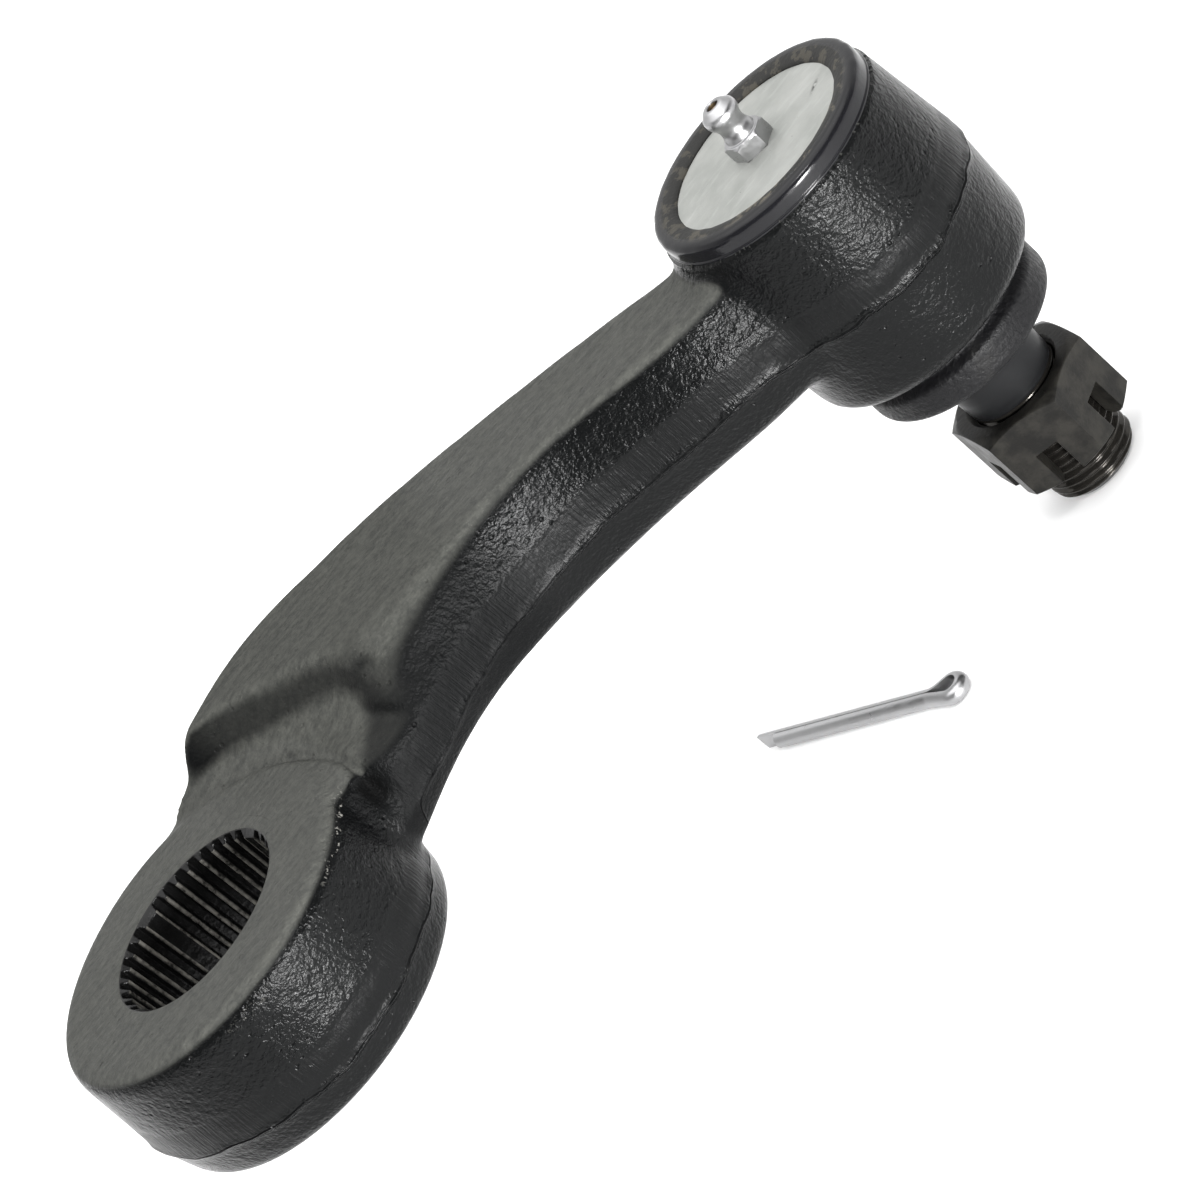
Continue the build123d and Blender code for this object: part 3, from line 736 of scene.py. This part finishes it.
# The trimmed flash is a thin uneven ridge: p + n height exp(-(above / width)^2) uneven, where uneven is
# 0.72 + 0.28 sin(0.9x + 0.7y).
def trimmedFlash(points, normals):
    x, y, z = points.T / mm
    above = z - flashLevel(x, y)
    outside = (fromStud(points) > 18.5 * mm) & (fromBore(points) > 20 * mm)
    side = smoothStep(0.35, 0.8, np.hypot(normals[:, 0], normals[:, 1])) * outside
    uneven = 0.72 + 0.28 * np.sin(0.9 * x + 0.7 * y)
    ridge = flash["height"] * bell(above * mm, flash["width"]) * side * uneven
    return points + normals * (1, 1, 0.2) * ridge[:, None], above, side


# Where the boss's upper edge is worn to steel: a stretch of it, and one spot on the near side.
def wornEdges(x, y, z):
    edge, spot = forging["wornEdge"], forging["wornSpot"]
    radius, turn = np.hypot(x, y), np.degrees(np.arctan2(y, x))
    worn = bell(radius - edge["radius"], edge["width"]) * window(turn, *edge["turn"])
    worn *= (z > edge["foot"]) * (z < 1)
    more = bell(turn - spot["turn"], spot["reach"]) * bell(radius - spot["radius"], spot["width"])
    return worn + spot["share"] * more * (z > spot["foot"])


# The solid, remeshed in small cells and worked over as above, with the fields that its paint reads.
def forgedSkin():
    rough = bpy.data.objects.new("roughForging", mergedCopy("arm_forging", "roughForging"))
    scene.collection.objects.link(rough)
    remesh = rough.modifiers.new("remesh", "REMESH")
    remesh.mode = "VOXEL"
    remesh.voxel_size = forging["voxel"]
    mesh = meshAfterModifiers(rough)
    bpy.data.objects.remove(rough)
    mesh.name = "forgedSkin"
    normals = readRows(mesh.vertices, "normal")
    edges = readRows(mesh.edges, "vertices", 2, np.int32)
    points, pocket = roundedForging(readRows(mesh.vertices, "co"), normals, edges)
    points, above, side = trimmedFlash(makeRoom(points), normals)
    mesh.vertices.foreach_set("co", points.ravel())

    x, y, z = points.T / mm
    past, reach = pastLanding(points)
    fields = {
        "trimBand": window(above, *flash["band"]) * side,
        "fromFlash": above,
        "flashSide": side,
        "edgeWear": wornEdges(x, y, z),
        # painted shade on the landing's near side
        "nearBevelShade": 0.85 * smoothStep(0, 3.5, past) * reach,
        # painted light on the step's steep face
        "stepFaceLight": softStep(points, normals) * smoothStep(16, 24, x),
        "dull": smoothStep(30.5, 32.5, np.hypot(x, y)) * (1 - smoothStep(60, 76, x)) * (x > 0),
        # the hollow that the paint darkens with painted shade
        "pocket": pocket,
    }
    for name, values in fields.items():
        storeField(mesh, name, values)
    shadeSmooth(mesh)
    print("forged skin:", len(mesh.vertices), "vertices")
    addObject("forgedSkin", mesh, forgingPaint, "arm", ["arm_forging"])
    return fields


skinFields = forgedSkin()


bore = {
    "valley": 15.88,
    "depth": 0.95,
    "places": 36,
    "masters": 4,                # filled places
    "firstMaster": 20.0,
    "taper": 1 / 32,
    "chamfer": 0.15,             # the mouth's cone starts this far outside the valleys
    "height": 25.4,
    "outer": 18.5,
    "lap": 0.03,                 # the sleeve stands this far out of the skin at both ends
    "samplesPerTooth": 20,
    "valleyShare": 0.46,
    "crestShare": 0.14,
}


# 1 where a place of the serration is one of the filled masters
def filledPlaces(u):
    place = np.round((u - math.radians(bore["firstMaster"])) * bore["places"] / (2 * math.pi))
    return np.mod(place, bore["places"] // bore["masters"]) == 0


# Radius of the bore's wall: r(u, down) = valley - down taper - depth tooth(u), where tooth runs from 0 in a
# valley to 1 on a crest along eased flanks, and stays 1 in the filled places.
def boreRadius(u, down):
    turn = (u - math.radians(bore["firstMaster"])) / (2 * math.pi / bore["places"])
    low, high = bore["valleyShare"] / 2, (1 - bore["crestShare"]) / 2
    tooth = np.clip((np.abs(turn - np.round(turn)) - low) / (high - low), 0, 1)
    tooth = 0.6 * smoothStep(0, 1, tooth) + 0.4 * tooth
    tooth = np.where(filledPlaces(u), 1.0, tooth)
    return bore["valley"] - down * bore["taper"] - bore["depth"] * tooth, tooth


# The sleeve with the serration inside. Its rings have a radius, a height and a painted highlight, and the
# wall between them is r = max(boreRadius, the cones that chamfer the mouth and the foot).
def serratedBore():
    u = np.linspace(0, 2 * math.pi, bore["places"] * bore["samplesPerTooth"], endpoint=False)
    top, bottom, wall = bore["lap"], -bore["height"] - bore["lap"], bore["outer"]
    mouth = bore["valley"] + bore["chamfer"]
    foot = mouth - bore["height"] * bore["taper"]
    nearEnd = np.linspace(0.15, 1.3, 9)
    between = np.linspace(1.8, bore["height"] - 1.8, 30)
    down = np.concatenate([nearEnd, between, bore["height"] - nearEnd[::-1]])[:, None]
    radius, tooth = boreRadius(u, down)
    cut = np.maximum(radius, np.maximum(mouth - down, foot - (bore["height"] - down)))
    # painted highlight along the crests' middles, none on the filled places
    paintedHighlight = np.where(filledPlaces(u), 0.0, smoothStep(0.72, 0.98, tooth) * (cut <= radius + 0.02))

    def plainRings(*rings):
        return np.repeat(np.array(rings)[:, :, None], len(u), axis=2)

    upper = plainRings((wall, top - 0.06, 0), (wall - 0.5, top, 0), (mouth + 0.25, top, 0),
                       (mouth, top - 0.12, 0.2))
    teeth = np.stack([cut, np.broadcast_to(-down, cut.shape), paintedHighlight], axis=1)
    lower = plainRings((foot, bottom + 0.10, 0.3), (foot + 0.3, bottom, 0.3), (wall, bottom, 0.3))
    r, z, glow = np.moveaxis(np.concatenate([upper, teeth, lower]), 1, 0)
    mesh = meshFromGrid("serratedBore", np.stack([r * np.cos(u), r * np.sin(u), z], -1) * mm, wrapRows=True)
    storeField(mesh, "crestHighlight", glow.ravel())
    closeSurface(mesh)
    # the flat rings are part of the boss's faces, so they carry the skin's paint and its fields
    for name in skinFields:
        storeField(mesh, name, np.full(len(mesh.vertices), 9.0 if name == "fromFlash" else 0.0))
    addObject("serratedBore", mesh, borePaint, "arm", ["arm_forging"])
    mesh.materials.append(forgingPaint)
    flat = fromBore(readRows(mesh.polygons, "center")) > (mouth + 0.02) * mm
    mesh.polygons.foreach_set("material_index", flat.astype(np.int32))


serratedBore()
print("bore cut")


rim = {
    "outer": 20.3,
    "bottom": 5.6,
    "skirt": 1.4,                # how far its foot reaches in under the skin
    "grooveFoot": 6.05,
    "grooveTop": 6.25,
    "grooveDepth": 0.20,
    "top": 9.05,
    "shoulder": 1.75,            # roundness of its rolled shoulder
    "crest": 17.2,
    "lip": 15.5,                 # the lip that comes down on the plate
    "lipTop": 8.70,
    "lipFace": 8.30,
    "lipFoot": 7.8,
    "lipWidth": 1.2,
    "waves": ((0.03, 23, 0), (0.02, 37, 1)),
}


# The spun rim's section: band, fine groove, rolled shoulder, and the lip. Rolling leaves faint waves round
# it: r + sum of height sin(count u + start) near the shoulder.
def spunRim():
    outer, bottom, lip = rim["outer"], rim["bottom"], rim["lip"]
    outline = softenedOutline([
        (outer - rim["skirt"], bottom), (outer, bottom, 0.1), (outer, rim["grooveFoot"], 0.15),
        (outer - rim["grooveDepth"], rim["grooveTop"], 0.08), (outer - 0.16, rim["top"], rim["shoulder"]),
        (rim["crest"], rim["top"] + 0.05, 0.9), (lip + 0.55, rim["lipTop"], 0.3), (lip, rim["lipFace"], 0.25),
        (lip, rim["lipFoot"], 0.1), (lip + rim["lipWidth"], rim["lipFoot"] - 0.3),
        (lip + rim["lipWidth"], bottom)], steps=7)

    def rolled(r, h, u):
        return r + bell(h / mm - 8.6, 0.6) * waved(u, rim["waves"]) * mm, h

    mesh = latheSurface("spunRim", outline, 192, shape=rolled)
    points = readRows(mesh.vertices, "co")
    turn = np.degrees(np.arctan2(points[:, 1], points[:, 0] - studX))
    flat = (1 - smoothStep(17.7, 18.5, fromStud(points) / mm)) * smoothStep(7.4, 8.2, points[:, 2] / mm)
    storeField(mesh, "rimFlat", flat)
    storeField(mesh, "rimWorn", 0.30 + 0.70 * bell(turn + 92, 50))
    addObject("spunRim", mesh, rimPaint, "arm", ["arm_forging"])


spunRim()
print("rim spun")


plate = {
    "top": 8.15,
    "crown": 0.15,
    "flat": 8.5,                 # level inside this radius, and falling by the crown over the next 5.5
    "fall": 5.5,
    "radius": 16.3,
    "underside": 6.2,
    "scar": (151.56, -3.0),
    "scarWay": (0.8, 0.6),
    "scarReach": (1.3, 0.35),
}


# A turned plate: z = top + crown (1 - (r - flat) / fall) outside its flat. Close rings there carry the scar,
# which is exp(-(along / 1.3)^2 - (across / 0.35)^2) on the upper side.
def closurePlate():
    high = plate["top"] + plate["crown"]
    rings = np.arange(9.0, 14.1, 0.25)
    slope = zip(rings, high - plate["crown"] * (rings - plate["flat"]) / plate["fall"])
    outline = softenedOutline([
        (0.0005, high), (7.0, high), (plate["flat"], high), *slope, (plate["radius"], plate["top"], 0.1),
        (plate["radius"], plate["underside"], 0.1), (0.0005, plate["underside"])], closed=False)
    mesh = latheSurface("closurePlate", outline, 256, closed=False)
    x, y, z = readRows(mesh.vertices, "co").T / mm
    cosine, sine = plate["scarWay"]
    along = (x - plate["scar"][0]) * cosine + (y - plate["scar"][1]) * sine
    across = (y - plate["scar"][1]) * cosine - (x - plate["scar"][0]) * sine
    scar = bell(along, plate["scarReach"][0]) * bell(across, plate["scarReach"][1])
    storeField(mesh, "scar", scar * (z > 7.5))
    addObject("closurePlate", mesh, plateFinish, "arm", ["closure_plate"])


closurePlate()


fitting = {
    "tip": 17.6,
    "foot": 8.22,
    "hexAcross": 6.5,
    "hexHeight": 3.1,
    "turn": -18.0,
    "stemEnd": 1.7,
    "stemRadius": 3.1,
    "collar": 2.75,
    "waist": 2.28,
    "head": 3.02,
    "mouth": 1.02,
    "passage": 1.25,
}


# The fitting's outline is turned, and between its hex's foot and top the radius is also held inside a
# hexagon: r = min(r, across/2 / cos(w)), w the angle to the nearest flat's middle.
def greaseFitting():
    base, top, tip = fitting["foot"], fitting["foot"] + fitting["hexHeight"], fitting["tip"]
    corner, stem, end = fitting["hexAcross"] / math.sqrt(3), fitting["stemRadius"], fitting["stemEnd"]
    waist, head, mouth = fitting["waist"], fitting["head"], fitting["mouth"]
    outline = softenedOutline([
        (fitting["passage"], end), (stem - 0.5, end, 0.2), (stem, end + 0.6, 0.2), (stem, base),
        (corner * 0.90, base, 0.05), (corner, base + 0.25, 0.1), (corner, top - 0.55, 0.15),
        (corner * 0.86, top, 0.1), (fitting["collar"], top, 0.2), (fitting["collar"] - 0.15, top + 0.7, 0.35),
        (waist, top + 1.5, 0.5), (waist + 0.02, tip - 3.6, 0.7), (head, tip - 2.35, 0.5),
        (head - 0.10, tip - 1.15, 0.45), (1.75, tip - 0.08, 0.3), (mouth + 0.18, tip, 0.08),
        (mouth, tip - 0.25, 0.1), (fitting["passage"], tip - 1.6, 0.1)], steps=6)

    def hexagon(r, h, u):
        inHex = (h > (base - 0.001) * mm) & (h < (top + 0.001) * mm)
        w = np.mod(u - math.radians(fitting["turn"]), math.pi / 3) - math.pi / 6
        return np.where(inHex, np.minimum(r, fitting["hexAcross"] / 2 * mm / np.cos(w)), r), h

    mesh = latheSurface("greaseFitting", outline, 180, shape=hexagon)
    addObject("greaseFitting", mesh, zincFinish, "arm", ["grease_fitting"])
    mesh.set_sharp_from_angle(angle=math.radians(28))


greaseFitting()


# A merged copy of a solid with its edges bevelled.
def bevelledCopy(node, name, finish, body, width, angle):
    mesh = mergedCopy(node, name)
    shadeSmooth(mesh)
    obj = addObject(name, mesh, finish, body, [node])
    bevel = obj.modifiers.new("soft edges", "BEVEL")
    bevel.width = width
    bevel.segments = 2
    bevel.limit_method = "ANGLE"
    bevel.angle_limit = math.radians(angle)
    normal = obj.modifiers.new("even shading", "WEIGHTED_NORMAL")
    normal.keep_sharp = False


bevelledCopy("cotter_pin", "cotterPin", zincFinish, "arm", 0.12 * mm, 50)
bevelledCopy("castle_nut", "slottedNut", nutFinish, "nut", 0.28 * mm, 30)
plainNodes = {"fitting_check_ball": ballFinish, "upper_seat": polymerFinish, "lower_bearing": bronzeFinish}
for node, finish in plainNodes.items():
    nodes[node].data.materials.clear()
    nodes[node].data.materials.append(finish)


# A spring: a merged copy of its solid with the spring finish, riding with the arm.
def pressedSpring(node, name):
    mesh = mergedCopy(node, name)
    obj = addObject(name, mesh, springFinish, "arm", [node])
    heights = readRows(mesh.vertices, "co")[:, 2]
    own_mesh(obj)


pressedSpring("preload_spring", "preloadSpring")
pressedSpring("fitting_check_spring", "checkSpring")
print("plate, fitting, springs, nut and pin dressed")


stud = {
    "ballRadius": 13.2,
    "ballFlat": 9.6,
    "neckRadius": 7.4,
    "neckEnd": -30.3,
    "taperStart": -33.2,
    "taperEnd": -48.8,
    "taper": 1 / 16,             # on the radius
    "threadRadius": 7.94,
    "threadEnd": -70.2,
    "threadRows": 220,
    "pitch": 25.4 / 18,
    "threadDepth": 0.78,
    "chamfer": 1.4,
    "holeHeight": -60.4,
    "holeRadius": 2.0,
    "holeTurn": 1.0,
}


# The thread's crest moves down one pitch for each turn: r = major - depth |1 - 2 frac(z / pitch + u / 2 pi)|,
# with flattened crest and root, cut back by the end's chamfer.
def threadRadius(u, z):
    phase = np.mod(z / stud["pitch"] + u / (2 * math.pi), 1.0)
    wedge = np.clip(np.abs(1 - 2 * phase) * 1.30 - 0.13, 0, 1)
    fade = smoothStep(0.0, 1.6, stud["taperEnd"] - z)
    r = stud["threadRadius"] - stud["threadDepth"] * wedge * fade
    return np.minimum(r, stud["threadRadius"] - stud["chamfer"] + (z - stud["threadEnd"]))


# The stud is one grid: its ball, r = R cos t, z = middle + R sin t, from the flat to the neck, then the neck
# and the taper as an outline, and the thread, where the radius also changes round the turn.
def ballStud():
    radius, middle = stud["ballRadius"], ballZ / mm
    t = np.linspace(math.asin(stud["ballFlat"] / radius), -math.acos(stud["neckRadius"] / radius), 34)
    ballPart = np.stack([radius * np.cos(t), middle + radius * np.sin(t)], -1)
    taperTop = stud["threadRadius"] + (stud["taperStart"] - stud["taperEnd"]) * stud["taper"]
    shank = softenedOutline([
        (stud["neckRadius"], stud["neckEnd"] + 2), (stud["neckRadius"], stud["neckEnd"], 1.2),
        (taperTop, stud["taperStart"], 0.8), (stud["threadRadius"], stud["taperEnd"])], closed=False)
    outline = np.concatenate([[(0.001, middle + stud["ballFlat"])], ballPart, shank])
    u = np.linspace(0, 2 * math.pi, 144, endpoint=False)
    z = np.linspace(stud["taperEnd"] - 0.05, stud["threadEnd"] + 0.001, stud["threadRows"])[:, None]
    turned, point = np.repeat(outline[:, :1], len(u), axis=1), np.full((1, len(u)), 0.001)
    r = np.concatenate([turned, threadRadius(u, z), point])
    h = np.concatenate([outline[:, 1:], z, [[stud["threadEnd"]]]]) + 0 * u
    points = np.stack([houseX + r * np.cos(u), r * np.sin(u), h], -1)
    mesh = closeSurface(meshFromGrid("ballStud", points * mm), merge=0.003 * mm)
    mendMesh(mesh, fillEnds=True)
    obj = addObject("ballStud", mesh, studFinish, "stud", ["ball_stud"])
    mesh.materials.append(threadFinish)

    drill = bpy.data.objects.new("cotterDrill", cotterDrill())
    scene.collection.objects.link(drill)
    cut = obj.modifiers.new("cotter hole", "BOOLEAN")
    cut.object = drill
    cut.solver = "EXACT"
    drilled = meshAfterModifiers(obj)
    obj.modifiers.clear()
    obj.data = drilled
    bpy.data.objects.remove(drill)
    threaded = readRows(drilled.polygons, "center")[:, 2] < (stud["taperEnd"] - 0.3) * mm
    drilled.polygons.foreach_set("material_index", threaded.astype(np.int32))
    shadeSmooth(drilled)
    print("stud turned and threaded:", len(drilled.polygons), "faces")


# A round bar across the thread: p = middle + t axis + r (cos u side + sin u up).
def cotterDrill():
    turn = math.radians(stud["holeTurn"])
    along = np.array([math.cos(turn), math.sin(turn), 0])
    side = np.array([-math.sin(turn), math.cos(turn), 0])
    u = np.linspace(0, 2 * math.pi, 32, endpoint=False)[None, :, None]
    t = np.array([-14.0, 14.0])[:, None, None]
    middle = np.array([houseX, 0, stud["holeHeight"]])
    points = middle + t * along + stud["holeRadius"] * (np.cos(u) * side + np.sin(u) * np.array([0, 0, 1.0]))
    mesh = meshFromGrid("cotterDrill", points * mm)
    mendMesh(mesh, fillEnds=True)
    return mesh


ballStud()


boot = {
    "top": -30.05,
    "flange": 16.6,
    "flangeHeight": 0.8,
    "waist": 15.3,
    "waistPlace": (1.4, 2.0),    # below the top
    "wide": 16.9,
    "wideFrom": 3.2,
    "bottom": -38.6,
    "wall": 2.2,
    "lipHeight": 2.4,            # of the lip that holds the taper
    "lipGap": 0.1,
    "tilt": 0.030,               # the boot sits a little low on its right
    "tiltTurn": 0.35,
    "holdTop": 0.8,              # heights below the top for the bearing's and the stud's shares; the boot is left whole, on no body
    "holdFoot": 2.2,
}


# A squat turned boot, its lower edge lower on one side: h - tilt r cos(u + tiltTurn), growing from nothing at
# the flange.
def dustBoot():
    top, bottom, waist, wide = boot["top"], boot["bottom"], boot["waist"], boot["wide"]
    hold = stud["threadRadius"] + (bottom - stud["taperEnd"]) * stud["taper"] + boot["lipGap"]
    inside = wide - boot["wall"]
    high, low = (top - place for place in boot["waistPlace"])
    outline = softenedOutline([
        (waist - 1.0, top), (boot["flange"], top, 0.2), (boot["flange"], top - boot["flangeHeight"], 0.3),
        (waist, high, 0.5), (waist, low, 0.5), (wide, top - boot["wideFrom"], 0.7), (wide, bottom + 1.0, 0.9),
        (wide - 1.1, bottom, 0.8), (hold, bottom, 0.3), (hold + 0.15, bottom + boot["lipHeight"], 0.4),
        (inside - 1.5, bottom + boot["lipHeight"] + 0.2, 1.0), (inside, bottom + 4.1, 0.8),
        (waist - 1.6, top - 1.8, 0.5)], steps=7)

    def sagging(r, h, u):
        share = smoothStep((top - 1) * mm, bottom * mm, h)
        return r, h - share * boot["tilt"] * r * np.cos(u + boot["tiltTurn"])

    mesh = latheSurface("dustBoot", outline, 128, shape=sagging)
    obj = addObject("dustBoot", mesh, rubberFinish, None, ["dust_boot"])
    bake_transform(obj)


dustBoot()
print("boot fitted")


studio = {
    "floorGap": 0.05 * mm,                    # the floor lies this far under the stud's end
    "floorHalf": 6.0,
    "above": 2.9,                             # brightness of the sky by direction
    "behind": 1.0,
    "front": 0.16,
    "frontSoftbox": {"aim": (0.075, 0, -0.01), "azimuth": 5.0, "elevation": 2.0, "distance": 0.50,
                     "size": 0.12, "power": 5.6},
    "rimSoftbox": {"aim": (0.140, 0, 0.008), "azimuth": 2.0, "elevation": 52.0, "distance": 0.55,
                   "size": 0.08, "power": 0.6},
    "camera": {"place": (0.05494, -0.58819, 0.2673), "forward": (0.02915, 0.89889, -0.43721),
               "right": (0.62932, -0.35633, -0.69064), "lens": 132.0, "sensor": 36.0},
}


# A level pale floor just under the stud's end.
def paleFloor():
    level = cadBox[0][2] - studio["floorGap"]
    half = studio["floorHalf"]
    mesh = bpy.data.meshes.new("paleFloor")
    mesh.from_pydata([(-half, -half, level), (half, -half, level), (half, half, level), (-half, half, level)],
                     [], [(0, 1, 2, 3)])
    floor = bpy.data.objects.new("paleFloor", mesh)
    scene.collection.objects.link(floor)
    f = Finish("paleFloor")
    f.set(Base_Color=(0.96, 0.96, 0.96), Roughness=0.9)
    mesh.materials.append(f.material)


# A bright sky above and behind the part, and a dim one on the camera's side, by direction.
def studioSky():
    world = bpy.data.worlds.new("studioSky")
    scene.world = world
    world.use_nodes = True
    tree = world.node_tree
    place = tree.nodes.new("ShaderNodeTexCoord")
    split = tree.nodes.new("ShaderNodeSeparateXYZ")
    tree.links.new(place.outputs["Generated"], split.inputs[0])

    def ramp(source, low, high, atLow, atHigh):
        node = tree.nodes.new("ShaderNodeMapRange")
        node.interpolation_type = "SMOOTHSTEP"
        for key, number in (("From Min", low), ("From Max", high), ("To Min", atLow), ("To Max", atHigh)):
            node.inputs[key].default_value = number
        tree.links.new(source, node.inputs["Value"])
        return node.outputs["Result"]

    mix = tree.nodes.new("ShaderNodeMix")
    mix.data_type = "FLOAT"
    mix.inputs["B"].default_value = studio["above"]
    tree.links.new(ramp(split.outputs["Z"], 0.58, 0.92, 0.0, 1.0), mix.inputs["Factor"])
    tree.links.new(ramp(split.outputs["Y"], -0.25, 0.35, studio["front"], studio["behind"]), mix.inputs["A"])
    background = tree.nodes["Background"]
    tree.links.new(mix.outputs["Result"], background.inputs["Strength"])
    background.inputs["Color"].default_value = (1, 1, 1, 1)


# An area light that looks at its aim from there: place = aim + distance (sin a cos e, -cos a cos e, sin e).
def softboxLight(name):
    softbox = studio[name]
    a, e = math.radians(softbox["azimuth"]), math.radians(softbox["elevation"])
    away = Vector((math.sin(a) * math.cos(e), -math.cos(a) * math.cos(e), math.sin(e)))
    data = bpy.data.lights.new(name, "AREA")
    data.size = softbox["size"]
    data.energy = softbox["power"]
    light = bpy.data.objects.new(name, data)
    scene.collection.objects.link(light)
    light.visible_camera = False
    light.location = Vector(softbox["aim"]) + away * softbox["distance"]
    light.rotation_euler = (-away).to_track_quat("-Z", "Y").to_euler()


# The photograph's view. The camera's right is made square to its forward, and up = right x forward.
def photoCamera():
    view = studio["camera"]
    data = bpy.data.cameras.new("photoCamera")
    data.lens = view["lens"]
    data.sensor_width = view["sensor"]
    data.clip_start, data.clip_end = 0.02, 40
    camera = bpy.data.objects.new("photoCamera", data)
    scene.collection.objects.link(camera)
    forward = Vector(view["forward"]).normalized()
    right = Vector(view["right"])
    right = (right - right.dot(forward) * forward).normalized()
    turn = Matrix((right, right.cross(forward), -forward)).transposed().to_4x4()
    camera.matrix_world = Matrix.Translation(view["place"]) @ turn
    scene.camera = camera


paleFloor()
studioSky()
softboxLight("frontSoftbox")
softboxLight("rimSoftbox")
photoCamera()
scene.view_settings.view_transform = "Standard"
print("floor, light and camera set")
